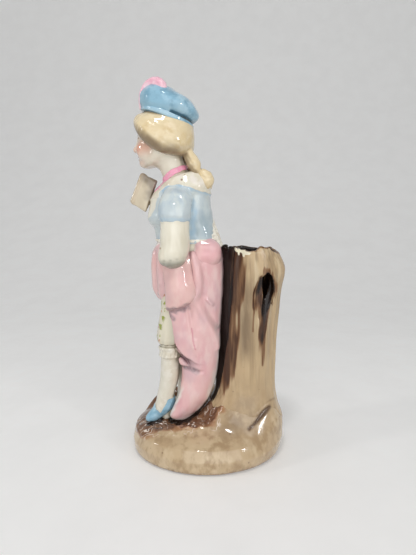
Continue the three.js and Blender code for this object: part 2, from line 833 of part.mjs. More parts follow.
// The far swag, which shows past the front of the figure.
function rightSwag(grow) {
  const station = (back, across, down, long, wide) =>
    fold(back, across, down, torsoHalfDepth * long, hipHalfWidth * wide);
  const pleats = (angle, t) => 0.125 * swagDepth * Math.cos(7 * angle) * smooth(0, 0.3, t);
  return loft(
    [
      station(-0.39, 0.28, 0.017, 0.74, 0.95),
      station(-0.45, 0.3, 0.073, 0.77, 1.06),
      station(-0.43, 0.35, 0.168, 0.74, 1.08),
      station(-0.29, 0.5, 0.251, 0.56, 0.86),
    ],
    { level: true, caps: [swagDepth * 0.18, swagDepth * 0.54], relief: pleats, around: 26 },
    grow,
  );
}

// The puff of the bustle, gathered over the top of the train.
function backPuff(grow) {
  const station = (back, across, down, long, wide) =>
    fold(back, across, down, torsoHalfDepth * long, hipHalfWidth * wide);
  return loft(
    [
      station(0.62, -0.07, 0.036, 0.6, 0.97),
      station(0.64, -0.08, 0.077, 0.64, 1.06),
      station(0.62, -0.07, 0.115, 0.56, 0.96),
    ],
    { level: true, caps: [swagDepth * 0.28, swagDepth * 0.32] },
    grow,
  );
}

// The train: a long heavy fold from the bustle to the ground, sweeping forward at its foot.
function train(grow) {
  const side = new THREE.Vector3(Math.cos(trainTurn), Math.sin(trainTurn), 0);
  const station = (back, across, down, wide, deep) =>
    fold(back, across, down, trainHalfWidth * wide, trainHalfDepth * deep);
  const pleats = (angle, t) => 0.09 * swagDepth * Math.cos(6 * angle + 0.8) * smooth(0.1, 0.4, t);
  return loft(
    [
      station(0.6, 0.03, 0.084, 0.95, 0.98),
      station(0.55, -0.08, 0.272, 1.03, 1.04),
      station(0.51, -0.17, 0.461, 1, 1),
      station(0.47, -0.23, 0.649, 0.91, 0.86),
      station(0.35, -0.28, 0.843, 0.76, 0.72),
      station(0.1, -0.35, 0.927, 0.67, 0.56),
      station(-0.14, -0.42, 0.983, 0.51, 0.39),
    ],
    { level: true, side, caps: [swagDepth * 0.36, swagDepth * 0.25], relief: pleats, around: 26 },
    grow,
  );
}

// The pieces in the order in which they are luted. Each is cut to all that come before it.
const pieces = [
  { name: "stump_vase", group: "vessel", look: "bark", form: stump, made: stumpVase },
  { name: "base_mound", group: "vessel", look: "tan", form: mound },
  { name: "left_stocking", group: "legs", look: "white", form: (g) => stocking(legs.left, g) },
  { name: "right_stocking", group: "legs", look: "white", form: (g) => stocking(legs.right, g) },
  { name: "left_shoe", group: "legs", look: "blue", form: (g) => shoe(legs.left, g) },
  { name: "right_shoe", group: "legs", look: "blue", form: (g) => shoe(legs.right, g) },
  { name: "left_knee_band", group: "legs", look: "white", form: (g) => kneeBand(legs.left, g) },
  { name: "right_knee_band", group: "legs", look: "white", form: (g) => kneeBand(legs.right, g) },
  { name: "breeches", group: "legs", look: "white", form: breeches },
  { name: "head", group: "body", look: "skin", form: head },
  { name: "letter", group: "body", look: "white", form: letter },
  { name: "left_arm", group: "body", look: "skin", form: leftArm },
  { name: "right_arm", group: "body", look: "skin", form: rightArm },
  { name: "left_sleeve", group: "body", look: "paleBlue", form: (g) => sleeve(-1, g) },
  { name: "right_sleeve", group: "body", look: "paleBlue", form: (g) => sleeve(1, g) },
  { name: "neck_ribbon", group: "body", look: "rose", form: neckRibbon },
  { name: "jacket", group: "body", look: "paleBlue", form: jacket },
  { name: "kerchief", group: "body", look: "white", form: kerchief },
  { name: "near_ringlet", group: "headdress", look: "blonde", form: (g) => ringlet(1.12, -0.43, 0, g) },
  { name: "far_ringlet", group: "headdress", look: "blonde", form: (g) => ringlet(1.07, 0.46, 0.08, g) },
  { name: "beret_band", group: "headdress", look: "blue", form: beretBand },
  { name: "hair", group: "headdress", look: "blonde", form: hair },
  { name: "plume", group: "headdress", look: "rose", form: plume },
  { name: "beret_crown", group: "headdress", look: "blue", form: beretCrown },
  { name: "left_swag", group: "drapery", look: "pink", form: leftSwag },
  { name: "waist_frill", group: "drapery", look: "white", form: waistFrill },
  { name: "back_puff", group: "drapery", look: "pink", form: backPuff },
  { name: "right_swag", group: "drapery", look: "pink", form: rightSwag },
  { name: "train", group: "drapery", look: "pink", form: train },
];

// The largest body of a solid, without the crumbs that a cut may leave.
function largest(solid) {
  return solid.decompose().reduce((best, body) => (body.volume() > best.volume() ? body : best));
}

// A mesh whose own origin is the middle of its piece.
function meshOf(name, solid, look) {
  const { vertProperties, triVerts } = solid.getMesh();
  const geometry = new THREE.BufferGeometry();
  geometry.setAttribute("position", new THREE.BufferAttribute(vertProperties, 3));
  geometry.setIndex(new THREE.BufferAttribute(triVerts, 1));
  geometry.computeBoundingBox();
  const middle = geometry.boundingBox.getCenter(new THREE.Vector3());
  geometry.translate(-middle.x, -middle.y, -middle.z);
  geometry.computeVertexNormals();
  const material = new THREE.MeshStandardMaterial({ ...colours[look], metalness: 0, flatShading: true });
  const mesh = new THREE.Mesh(geometry, material);
  mesh.name = name;
  mesh.position.copy(middle);
  return mesh;
}

const vase = new THREE.Group();
const groups = {
  vessel: new THREE.Group(),
  legs: new THREE.Group(),
  body: new THREE.Group(),
  headdress: new THREE.Group(),
  drapery: new THREE.Group(),
};
vase.add(...Object.values(groups));

const cutters = [];
for (const { name, group, look, form, made } of pieces) {
  let solid = made ? made() : form(0);
  for (const cutter of cutters) solid = solid.subtract(cutter);
  groups[group].add(meshOf(name, largest(solid), look));
  cutters.push(form(joint));
}

export default vase;
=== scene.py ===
import math
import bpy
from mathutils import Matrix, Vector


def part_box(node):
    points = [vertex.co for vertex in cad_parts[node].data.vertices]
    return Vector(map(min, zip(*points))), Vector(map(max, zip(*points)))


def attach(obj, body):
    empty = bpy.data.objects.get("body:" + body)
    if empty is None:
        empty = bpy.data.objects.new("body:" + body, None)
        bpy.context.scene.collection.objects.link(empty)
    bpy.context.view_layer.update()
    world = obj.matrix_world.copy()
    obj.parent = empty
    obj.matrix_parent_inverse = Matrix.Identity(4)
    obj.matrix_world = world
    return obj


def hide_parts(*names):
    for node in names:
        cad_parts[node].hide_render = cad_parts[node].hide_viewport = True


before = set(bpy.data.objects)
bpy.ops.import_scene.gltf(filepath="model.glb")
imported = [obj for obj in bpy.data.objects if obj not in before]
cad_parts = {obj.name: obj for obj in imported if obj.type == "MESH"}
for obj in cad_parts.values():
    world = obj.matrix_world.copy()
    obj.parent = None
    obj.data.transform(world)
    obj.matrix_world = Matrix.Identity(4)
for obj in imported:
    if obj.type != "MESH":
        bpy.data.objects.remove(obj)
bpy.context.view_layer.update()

from concurrent.futures import ThreadPoolExecutor
from functools import reduce
from itertools import product

import bpy
import numpy as np
from mathutils import Vector

# A glazed porcelain figural bud vase. Every piece is a closed field of distances, in millimetres.
# The fields of neighbours flow into each other as slip-cast clay does, and each piece keeps the share
# of the skin that is its own. The skin is then drawn as a mesh over the piece's box in the frame.

STEP = 1  # how coarse the grids are, against the finished ones
SLIP = 0.32  # how softly two luted pieces flow together


# Places from the frame
def box(node):
    low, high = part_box(node)
    return np.array(low) * 1000, np.array(high) * 1000


# Fields
def smin(a, b, k):
    h = np.maximum(k - np.abs(a - b), 0) / k
    return np.minimum(a, b) - h * h * k * 0.25


def smax(a, b, k):
    return -smin(-a, -b, k)


def ramp(low, high, v):
    t = np.clip((v - low) / (high - low), 0, 1)
    return t * t * (3 - 2 * t)


def fade(low, high, v):
    return 1 - ramp(low, high, v)


def hill(*terms):
    """A smooth hill, from pairs of how far a point lies from its middle, and how wide it is."""
    return np.exp(-sum((v / width) ** 2 for v, width in terms))


def along(v, x, y):
    """np.interp, in the single precision that the grids use."""
    return np.interp(v, x, y).astype(np.float32)


def spline(rows, steps):
    rows = np.asarray(rows, float)
    pad = np.vstack([2 * rows[0] - rows[1], rows, 2 * rows[-1] - rows[-2]])
    out = []
    for i in range(len(rows) - 1):
        a, b, c, d = pad[i : i + 4]
        for t in np.arange(steps) / steps:
            bend, twist = 2 * a - 5 * b + 4 * c - d, 3 * b - a - 3 * c + d
            out.append(0.5 * (2 * b + (c - a) * t + bend * t**2 + twist * t**3))
    out.append(rows[-1])
    return np.array(out)


def chain(p, rows, steps=3):
    """A round tube through points, each with its own radius."""
    x, y, z = p
    best = None
    rows = spline(rows, steps)
    for a, d in zip(rows[:-1].tolist(), np.diff(rows, axis=0).tolist()):
        long2 = d[0] ** 2 + d[1] ** 2 + d[2] ** 2 + 1e-9
        u, v, w = x - a[0], y - a[1], z - a[2]
        t = np.clip(u * (d[0] / long2) + v * (d[1] / long2) + w * (d[2] / long2), 0, 1)
        u, v, w = u - t * d[0], v - t * d[1], w - t * d[2]
        g = np.sqrt(u * u + v * v + w * w) - (a[3] + t * d[3])
        best = g if best is None else np.minimum(best, g)
    return best


def turned(p, c, turn=0, tip=0):
    """The place of p seen from c, after a turn about Z and a tip about Y, in degrees."""
    x, y, z = p[0] - c[0], p[1] - c[1], p[2] - c[2]
    ct, st = math.cos(math.radians(turn)), math.sin(math.radians(turn))
    x, y = x * ct + y * st, y * ct - x * st
    cp, sp = math.cos(math.radians(tip)), math.sin(math.radians(tip))
    return x * cp - z * sp, y, x * sp + z * cp


def ball(p, c, r, turn=0, tip=0):
    x, y, z = turned(p, c, turn, tip)
    k0 = np.sqrt((x / r[0]) ** 2 + (y / r[1]) ** 2 + (z / r[2]) ** 2)
    k1 = np.sqrt((x / r[0] ** 2) ** 2 + (y / r[1] ** 2) ** 2 + (z / r[2] ** 2) ** 2) + 1e-9
    return k0 * (k0 - 1) / k1


def slab(p, c, half, round_, turn=0, tip=0):
    q = turned(p, c, turn, tip)
    d = [np.abs(v) - (h - round_) for v, h in zip(q, half)]
    out = np.sqrt(sum(np.maximum(v, 0) ** 2 for v in d))
    return out + np.minimum(np.maximum(np.maximum(d[0], d[1]), d[2]), 0) - round_


def sweep(p, rows, turn=0, soft=1, relief=None):
    """Level oval sections, one above the other: x, y, z and two half-widths."""
    x, y, z = p
    t = spline(rows, 6)
    t = t[np.argsort(t[:, 2])]
    cx, cy, a, b = (along(z, t[:, 2], t[:, i]) for i in (0, 1, 3, 4))
    ct, st = math.cos(math.radians(turn)), math.sin(math.radians(turn))
    u, v = (x - cx) * ct + (y - cy) * st, (y - cy) * ct - (x - cx) * st
    k0 = np.hypot(u / a, v / b)
    k1 = np.hypot(u / a**2, v / b**2) + 1e-9
    f = k0 * (k0 - 1) / k1
    if relief is not None:
        f = f - relief(np.arctan2(v / b, u / a), z)
    return smax(f, np.maximum(t[0, 2] - z, z - t[-1, 2]), soft)


def wave(p, size, seed=0, squash=(1, 1, 1)):
    rng = np.random.default_rng(seed)
    total = 0
    for _ in range(5):
        d = rng.normal(size=3)
        d *= 2 * math.pi / size * rng.uniform(0.7, 1.3) / np.linalg.norm(d) * np.array(squash)
        d, shift = d.tolist(), float(rng.uniform(0, 2 * math.pi))
        total = total + np.sin(d[0] * p[0] + d[1] * p[1] + d[2] * p[2] + shift)
    return total / 2.2


def beside(u, v, path, steps=4):
    """Distance to a drawn line, and which side of it, in a plane."""
    path = spline(path, steps)
    best = np.full(np.shape(u), 1e9, np.float32)
    side = np.zeros(np.shape(u), np.float32)
    for a, d in zip(path[:-1].tolist(), np.diff(path, axis=0).tolist()):
        t = np.clip(((u - a[0]) * d[0] + (v - a[1]) * d[1]) / (d[0] ** 2 + d[1] ** 2 + 1e-9), 0, 1)
        dist = np.hypot(u - a[0] - t * d[0], v - a[1] - t * d[1])
        s = np.sign(d[0] * (v - a[1]) - d[1] * (u - a[0]))
        nearer = dist < best
        best = np.where(nearer, dist, best)
        side = np.where(nearer, s, side)
    return best, side


def groove(p, path, depth, width, side=-1):
    """A crease pressed into one side, drawn in x and z."""
    dist, _ = beside(p[0], p[2], path, 3)
    return depth * hill((dist, width)) * ramp(-2, 2, side * p[1])


def creased(p, creases, side=-1):
    """Some creases: each has its line, its depth, which is less than 0 for a fold, and its width."""
    return sum(groove(p, path, depth, width, side) for path, depth, width in creases)


# The vessel
OVAL = (40.5, 33)
GROUND = 16.5  # the mound's top, where the figure stands
SOLES = 16.3  # where shoes and web sink into it
HEART = (20.7, 2)  # the middle of the stump
FLOOR = 9  # the floor of its hollow
HALF_LENGTH = 40.3  # how far the dressed mound may reach, inside the solids' box
FOOT = 0.04  # and how low
SLIT = [
    [31.6, -12, 25.9, 0.3], [30.2, -13.2, 25.1, 0.6], [28.4, -14.5, 23.9, 0.75], [25.9, -16.2, 22, 0.5],
    [23.2, -18, 19.7, 0.25], [20.4, -20.2, 18.1, 0.12],
]
SEAM = [
    [36.6, -4, 27.4, 0.25], [35, -6.8, 28.2, 0.35], [31.9, -10.9, 28.7, 0.35], [28.6, -13.7, 27.4, 0.3],
    [25.6, -15.4, 25.2, 0.2],
]


def footprint(x, y):
    """How far a point of the mound's top lies from the shoes and the hem of the train."""
    left = np.hypot((x + 25.2) * 0.83 + (y + 4.4) * 0.3, (y + 4.4) * 0.95 - (x + 25.2) * 0.25) - 4.6
    right = np.hypot((x + 17.4) * 0.83, (y - 7.4) * 0.95) - 4.2
    hem, _ = beside(x, y, [[-13.6, -4.8], [-8.2, -4], [-2, -3.2], [2, 0.2]])
    return np.minimum(np.minimum(left, right), hem - 4.6)


def lift(x, y):
    """How far the mound rises above the ground that the figure stands on."""
    rock = ramp(4, 30.4, x) * ramp(-28, 9.9, y)
    back = ramp(10.6, 21.5, y)
    beyond = np.maximum(0, np.hypot((x - HEART[0]) / 16.4, (y - HEART[1]) / 15) - 1) * 15
    root = 8 * hill((beyond, 7.5))
    bulge = 4.6 * hill((x - 32.5, 6.5), (y + 9.5, 6.5))
    return np.maximum(root, 7 * rock + 8 * back * (1 - rock)) + bulge


def mound(p):
    x, y, z = p
    up = lift(x, y)
    low = z * GROUND / (GROUND + up)
    share = ramp(0.1 * GROUND, GROUND, low)
    low = low - (low + share * up - z) / (1 + 0.09 * up)
    inset = along(low, [0, 1, 2.5, 6.9, 12.2, 15.4, 17], [2.4, 1.2, 0.6, 0, 2, 6.9, 10])
    a, b = OVAL[0] - inset, OVAL[1] - inset
    middle = along(low, [0, 7, 10, 13, 17], [-0.6, 0, 0, -0.7, -1.2])
    k0 = np.hypot((x - middle) / a, y / b)
    k1 = np.hypot((x - middle) / a**2, y / b**2) + 1e-9
    side = k0 * (k0 - 1) / k1 + 0.13 * wave(p, 15, 8)
    feet = footprint(x, y)
    moat = ramp(-2.5, 1.5, feet) * fade(1.5, 7, feet)
    glassy = fade(4, 12, feet) * fade(-6, 4, y)
    top = GROUND + up - 1.2 * moat + 0.35 * wave(p, 17, 3, (1, 1, 0))
    top = top + 0.7 * hill((feet - 8.5, 3)) * fade(-8, 0, y)
    pond = ramp(-1, 1.5, feet) * fade(7.5, 11.5, feet) * fade(-4, 5, y)
    ripples = 0.5 * wave((x, y, 0 * z), 3.7, 4) + 0.24 * wave((x, y, 0 * z), 2.3, 5)
    top = top + pond * ripples + 0.12 * glassy
    top = top - 0.9 * hill((x + 28, 8), (y + 17, 5))
    f = smax(side, (z - top) * 0.86, 5)
    return smax(f, -z, 0.8)


RIM = np.array([
    [0, 105.4], [20, 107], [60, 105.8], [100, 107.2], [140, 106.4], [180, 108], [200, 108.7], [214, 109.2],
    [228, 108.9], [240, 107.6], [250, 106.6], [270, 106.1], [280, 106.6], [290, 107.9], [297, 108.2],
    [306, 107.4], [316, 107.8], [326, 106], [344, 104.4], [360, 105.4],
])
STUMP = [
    [19.7, 2, 4, 17, 15.6], [19.3, 2, 14.5, 19.7, 18.6], [19.9, 2, 24, 17.7, 16.8], [20, 2, 37, 15.8, 14.8],
    [20.2, 2, 57.5, 15.6, 14.6], [20.9, 2, 78, 16.2, 14.9], [21.5, 2, 86.5, 16.6, 15.2],
    [22.4, 2, 94.5, 17.3, 15.4], [22, 2, 99, 16.9, 15.2], [20.5, 2, 107, 14.3, 14.3],
    [19.8, 2, 112, 12.8, 13.7],
]
KNOT = [
    [28.6, -10.9, 95.2, 1.1], [29.6, -10.4, 91.4, 2.7], [30.1, -10.2, 87.4, 3.1], [29.9, -10.5, 83.6, 2.7],
    [29.2, -11, 79, 2.1], [28.5, -11.5, 73.6, 1.7], [27.8, -11.9, 66.5, 1.2], [27.6, -12.2, 60.3, 0.95],
    [27.9, -12.3, 54.7, 0.7], [28.3, -12.3, 48, 0.3],
]
SCOOP = [
    [26.4, -12.6, 92.6, 1.4], [25.8, -13.5, 88.4, 2.5], [25, -14, 84, 2.9], [24.9, -14, 79, 2.6],
    [25.6, -13.1, 73.6, 1.3],
]


def round_the_stump(x, y):
    return np.degrees(np.arctan2(y - HEART[1], x - HEART[0])) % 360


def dark_edge(z):
    """Where, round the stump, the dark strip behind the figure ends."""
    return along(z, [22, 34, 43, 62, 80, 107], [196, 205, 214, 226, 233.5, 238])


def stump_skin(p):
    x, y, z = p
    spin = np.arctan2(y - HEART[1], x - HEART[0])
    flutes = 0.45 * (np.cos(5 * spin + 0.6) + 0.7 * np.cos(9 * spin + 2)) * (0.2 + 0.8 * ramp(26, 52, z))
    toes = 0.8 * np.cos(3 * spin - 0.4) * fade(4, 35, z)
    return sweep(p, STUMP, soft=0.6) - (flutes + toes)


def trunk(p):
    x, y, z = p
    turn = round_the_stump(x, y)
    near = lambda middle, width: hill(((turn - middle + 180) % 360 - 180, width))
    round_ = np.radians(turn) * 16
    lean = round_ + 0.9 * wave((0 * x, 0 * y, z), 46, 14)
    streak = wave((lean, z, 0 * z), 4.6, 11, (1, 0.07, 0))
    fine = wave((lean, z, 0 * z), 2.2, 12, (1, 0.09, 0))
    f = stump_skin(p) - (0.11 * streak + 0.06 * fine) * (0.1 + 0.9 * ramp(28, 60, z))
    end = dark_edge(z)
    channel = ramp(192, 206, turn) * fade(-3.5, 1.5, turn - end)
    f = f + 1.6 * channel * ramp(24, 46, z)
    f = f - 0.3 * hill((turn - end - 5, 3.4)) * ramp(50, 66, z)
    f = f + 0.8 * near(341, 4) * ramp(24, 40, z) * fade(78, 92, z)
    f = f - 0.4 * near(331, 6)
    f = smax(f, -chain(p, SCOOP), 1.4)
    f = smax(f, -chain(p, KNOT), 0.7)
    f = smin(f, chain(p, [
        [32.9, -9.2, 94.4, 0.5], [34, -8.5, 89, 0.9], [33.6, -9, 84, 0.8], [32.2, -10.2, 79, 0.4],
    ]), 1.5)
    rim = along(turn, RIM[:, 0], RIM[:, 1]) + 0.25 * wave((round_, 0 * z, 0 * z), 3.4, 13)
    return smax(f, z - rim, 0.8)


def cavity(p):
    z = p[2]
    wall = along(z, [FLOOR, 98, 107], [3.4, 3.2, 2.2])
    return smax(stump_skin(p) + wall, FLOOR - z, 3)


def vessel(p, own):
    """Mound and stump flow together above the mound's edge, and stay inside the solids' overall box."""
    apart, blend = 6 * fade(3, 17, p[2]), 8
    f = smin(own["base_mound"], own["stump_vase"] + apart, blend)
    f = smax(f, -chain(p, SLIT), 1.2)
    f = smax(f, -chain(p, SEAM), 1)
    return np.maximum(smax(f, np.abs(p[0]) - HALF_LENGTH, 1.2), FOOT - p[2])


# The legs
LEGS = {
    "left": {
        "shank": [
            [-20.3, -4.4, 63, 4.4], [-20.1, -4.3, 56, 4.7], [-19.8, -4.2, 49.6, 4.9], [-19.9, -4, 43, 5.1],
            [-20.4, -3.8, 38.5, 4.9], [-21.7, -3.6, 32.6, 4.5], [-22.8, -3.6, 28.6, 4.3],
            [-23.6, -3.8, 24.8, 4],
        ],
        "foot": [
            [-20.8, -3.1, 25.8, 2.7], [-24, -4.2, 22.6, 3.5], [-27.2, -5.4, 19.6, 2.9],
            [-29.8, -6.6, 18.1, 2.1], [-31, -7.2, 17.5, 1.4],
        ],
        "thigh": [
            [-13.8, -5.2, 97, 8.6], [-15.6, -5.2, 86, 8.2], [-17, -5, 76, 7.2], [-18.8, -4.7, 68, 6.8],
            [-20, -4.4, 61.5, 6.5], [-20.3, -4.4, 58.8, 5.2],
        ],
        "line": [
            [-34, 23.6], [-30.8, 22], [-28, 24.4], [-27.2, 22.2], [-25, 20.6], [-22.8, 23.8], [-21.2, 27.4],
            [-18.4, 28], [-15, 28.2],
        ],
    },
    "right": {
        "shank": [
            [-13.5, 5.6, 63, 4.4], [-13.4, 5.7, 56, 4.6], [-12.7, 5.9, 48, 4.9], [-12.6, 6, 41, 4.8],
            [-12.9, 6.2, 34.5, 4.2], [-13.2, 6.4, 28.5, 3.7], [-13.6, 6.5, 24, 3.6],
        ],
        "foot": [
            [-13, 6.2, 20.4, 3.2], [-16.6, 7.4, 19.8, 3], [-19.6, 8.6, 18.6, 2.3], [-21.6, 9.5, 17.8, 1.3],
        ],
        "thigh": [
            [-11.6, 5.2, 97, 8.6], [-12.2, 5.4, 86, 8.2], [-12.8, 5.6, 76, 7.4], [-13.4, 5.6, 68, 7],
            [-13.6, 5.6, 61.5, 6.5], [-13.5, 5.6, 58.8, 5.2],
        ],
        "line": [
            [-24, 26], [-21, 24.4], [-19.4, 22.8], [-17.6, 21.2], [-15.2, 20.8], [-12.8, 23.2], [-10, 26.6],
            [-7, 28],
        ],
    },
}
# The web of clay that carries the raised heel.
WEB = [[-19.8, -3, 24.4, 1.7], [-20.9, -3.4, 20.4, 2.1], [-22.2, -3.8, 17.4, 2.5]]


def limb(p, leg):
    foot = chain(p, leg["foot"])
    return smax(smin(chain(p, leg["shank"]), foot, 2.4), SOLES - p[2], 0.6)


def stocking(side):
    def form(p):
        f = limb(p, LEGS[side])
        if side == "left":
            f = smin(f, smax(chain(p, WEB), SOLES - p[2], 0.6), 0.8)
        return smax(f, p[2] - 60, 1)

    return form


def shoe(side):
    def form(p):
        x, _, z = p
        leg = LEGS[side]
        line = np.array(leg["line"])
        top = along(x, line[:, 0], line[:, 1]) + 0.25 * np.sin(x * 2.1)
        foot = limb(p, leg) - 0.45
        return smax(foot, (z - top) * 0.75, 0.4)

    return form


def knee_band(side):
    def form(p):
        z = p[2]
        leg = LEGS[side]
        shank = chain(p, leg["shank"])
        spin = np.arctan2(p[1] - leg["shank"][1][1], p[0] - leg["shank"][1][0])
        swell = 0.55 + 0.35 * hill((z - 51.3, 0.7)) + 0.45 * hill((z - 55.6, 0.8))
        swell = swell + 0.14 * np.cos(17 * spin + 1.5 * np.sin(z * 0.9)) + 0.06 * wave(p, 1.9, 21)
        return smax(shank - swell, np.abs(z - 53.4) - 2.9, 0.7)

    return form


def breeches(p):
    f = sweep(p, [
        [-13, 0, 80, 8, 8.6], [-12, 0, 92, 12.4, 11.4], [-11.4, 0, 100, 12.8, 11.4],
        [-11, 0, 111, 12.4, 10.6],
    ], soft=3)
    for side in ("left", "right"):
        leg = LEGS[side]
        thigh = chain(p, leg["thigh"])
        cx, cy = leg["thigh"][-1][:2]
        spin = np.arctan2(p[1] - cy, p[0] - cx)
        thigh = thigh + 0.3 * np.cos(9 * spin + 0.6 * np.sin(p[2] / 4)) * fade(57, 69, p[2])
        f = smin(f, thigh, 2)
    return smax(f, 57.4 - p[2], 1.6)


# The body
TORSO = [
    [-11.3, 0, 109, 14.4, 10.9], [-11.9, 0, 113, 15, 11.1], [-12.4, 0, 117, 15, 11.5],
    [-13.6, 0, 122, 15.8, 12.2], [-13.9, 0, 126, 15.8, 12.6], [-13.8, 0, 131, 15.1, 12.8],
    [-13.2, 0, 136, 14, 12], [-13, 0, 140, 11.8, 9.6], [-13.4, 0, 143, 8.8, 7.8],
]
TAIL = [
    [-1.6, 0, 108.6, 6, 9.6], [-2, 0, 111, 5.8, 9.2], [-2.7, 0, 115, 5.6, 8.6], [-3.5, 0, 119.5, 5.5, 7.8],
    [-4.6, 0, 124.5, 5.6, 7],
]
FAN = [
    [0.8, 0, 107.6, 7.2, 7.6], [-0.2, 0, 111, 6.8, 7.4], [-1.4, 0, 115, 6.6, 6.8], [-2.6, 0, 119, 6.2, 6.2],
    [-3.8, 0, 123.5, 6.2, 5.6],
]
COLLAR = [
    [9, 132.4], [0, 134.4], [-2.7, 134.7], [-5.5, 135.7], [-7.5, 136.5], [-11, 137.4], [-14.4, 138],
    [-19.2, 137.7], [-21.6, 136.4], [-23.7, 134.4], [-24.7, 131.9], [-30, 131.4], [-38, 131.4],
]


def torso(p):
    x, y, z = p
    rise = 0.34 * (x + 14) * ramp(131, 141, z)
    f = sweep((x, y, z - rise), TORSO, soft=2)
    f = smin(f, ball(p, (-24.6, 0, 122), (5.6, 8.6, 4.6)), 2.6)
    f = smin(f, sweep(p, TAIL, soft=1.4), 3.2)
    dent = groove(p, [[-6.8, 133], [-7, 128], [-7.6, 121], [-6.8, 114]], 1.2, 2.1)
    dent = dent + groove(p, [[-27.6, 117.8], [-24.4, 117], [-21.6, 117.8]], 0.6, 1)
    return f + dent - 0.13 * wave(p, 9, 31)


def above_collar(p):
    dist, side = beside(p[0], p[2], COLLAR)
    return -side * dist + 0.15 * wave(p, 3.5, 33)


def jacket(p):
    return torso(p) + np.maximum(above_collar(p), 0)


def kerchief(p):
    return torso(p) - 0.18 + np.maximum(-above_collar(p), 0)


def head_place(p):
    """Forward, across and up from the middle of the head."""
    away, nod = 12, 3  # how far it is turned and tipped, in degrees
    x, y, z = p[0] + 22, p[1], p[2] - 161
    c, s = math.cos(math.radians(away)), math.sin(math.radians(away))
    fx, v = -x * c + y * s, x * s + y * c
    c, s = math.cos(math.radians(nod)), math.sin(math.radians(nod))
    return fx * c - z * s, v, fx * s + z * c


NECK = [
    [-13, 0, 134, 8.6], [-14.6, 0, 139, 7.4], [-16.2, 0, 143.5, 6.6], [-18.4, 0, 149, 6.3],
    [-20.4, 0, 156, 6.6],
]


def head(p):
    u, v, w = q = head_place(p)
    m = (u, np.abs(v), w)
    f = ball(q, (-0.9, 0, 2.2), (13.2, 10.7, 11.6))
    f = smin(f, ball(q, (4.2, 0, -4), (8.8, 8, 9.4)), 3.5)
    f = smin(f, chain(m, [[-2, 7.4, -5.4, 2.4], [4.5, 6, -9.6, 2.4], [9, 2.2, -11, 2.2]]), 3.2)
    f = smin(f, ball(m, (8.7, 4.4, -5.4), (4, 3.9, 4.2)), 2.6)
    f = smin(f, ball(q, (10.6, 0, -11), (2.8, 3, 2.5)), 1.8)
    f = smax(f, -ball(m, (13.4, 3.9, 0), (2, 2.5, 1.7)), 1.6)
    f = smin(f, ball(m, (10.2, 3.7, -0.1), (2.2, 2.1, 1.9)), 0.5)
    f = smin(f, chain(m, [[11.9, 1.9, 1.3, 0.5], [11.7, 3.8, 1.9, 0.55], [10.6, 5.6, 1, 0.5]]), 0.7)
    f = smin(f, chain(q, [[12.1, 0, 1.6, 1.2], [13.4, 0, -1.4, 1.1], [14.8, 0, -4.1, 1.5]]), 1.6)
    f = smin(f, ball(m, (13.2, 1.4, -4.9), (1.3, 1.1, 1)), 0.8)
    f = smin(f, chain(m, [[13.2, 0.4, -7.7, 0.75], [12.6, 1.7, -8, 0.55], [11.7, 2.9, -8.3, 0.3]]), 0.8)
    f = smin(f, chain(m, [[13, 0, -9.2, 0.9], [12.4, 1.4, -9.1, 0.65], [11.7, 2.6, -8.6, 0.3]]), 0.8)
    f = smax(f, -chain(m, [[13.9, 0, -8.4, 0.28], [13, 1.8, -8.4, 0.26], [12.2, 2.9, -8.2, 0.2]]), 0.35)
    neck = chain(p, NECK)
    return smin(f, neck, 3.4)


RIBBON = [
    [-6.6, 149.6], [-8.9, 148.2], [-13.5, 146], [-18, 143.6], [-20.8, 141.6], [-23.2, 139.6], [-24.6, 137.6],
    [-25.8, 134.9], [-26.9, 132], [-27.6, 129.2], [-28.2, 126.6],
]


def neck_ribbon(p):
    dist, _ = beside(p[0], p[2], RIBBON)
    heights = [126, 131, 134, 137, 140, 145, 148, 150]
    width = along(p[2], heights, [0.4, 0.6, 0.8, 1.05, 1.25, 1.35, 0.9, 0.5])
    width = width + 0.12 * wave(p, 4, 41)
    aside = np.maximum(np.abs(p[1]) - 1.6, 0) * fade(131, 138, p[2])
    under = np.minimum(torso(p), chain(p, NECK))
    fold = 0.12 * wave(p, 3, 42)
    return smax(under - 0.42 - fold, np.hypot(dist, aside) - width, 0.45)


# The rolled hair: a cap, a long front roll on each side, and a ringlet at the nape on each side.
ROLL = [
    [-33.7, 2.6, 168.6, 3], [-32.2, -4.4, 167.8, 3.8], [-29.8, -8.2, 165, 4.9], [-26.4, -9.8, 161.2, 5.4],
    [-20.6, -9.4, 158.2, 5.4], [-14.6, -6.6, 157.2, 5.2], [-12, -2, 157, 4.6], [-12, 3, 157, 4.6],
    [-14.6, 7.4, 157.2, 5.2], [-20.6, 9.8, 158.6, 5.2], [-26.2, 10.4, 161.8, 4.9], [-30.2, 9, 165.6, 4.5],
    [-32, 6, 168, 3.7], [-33.7, 2.6, 168.6, 3],
]


def hair(p):
    x, y, z = p
    f = ball(p, (-20.4, 0, 165), (13.8, 13.2, 10), turn=-12, tip=14)
    opening = ball(p, (-41, 3.4, 153.4), (15.2, 10.4, 12.4), turn=-12, tip=-12)
    f = smax(f, -opening, 1.4)
    f = smin(f, chain(p, ROLL), 4.5)
    lie = wave((x * 0.8 + z * 0.6, y, x * 0.6 - z * 0.8), 4.2, 51, (0.12, 0.7, 1))
    f = f - 0.03 * lie
    creases = [
        ([[-34, 168.2], [-31, 166.4], [-26.2, 162], [-20.6, 157.6], [-14.2, 154.9], [-8, 154.6]], 0.3, 1.1),
        ([[-32.4, 172.6], [-28.4, 169], [-23, 165.6], [-16, 163], [-9.6, 161]], 0.15, 1.4),
    ]
    return f + creased(p, creases)


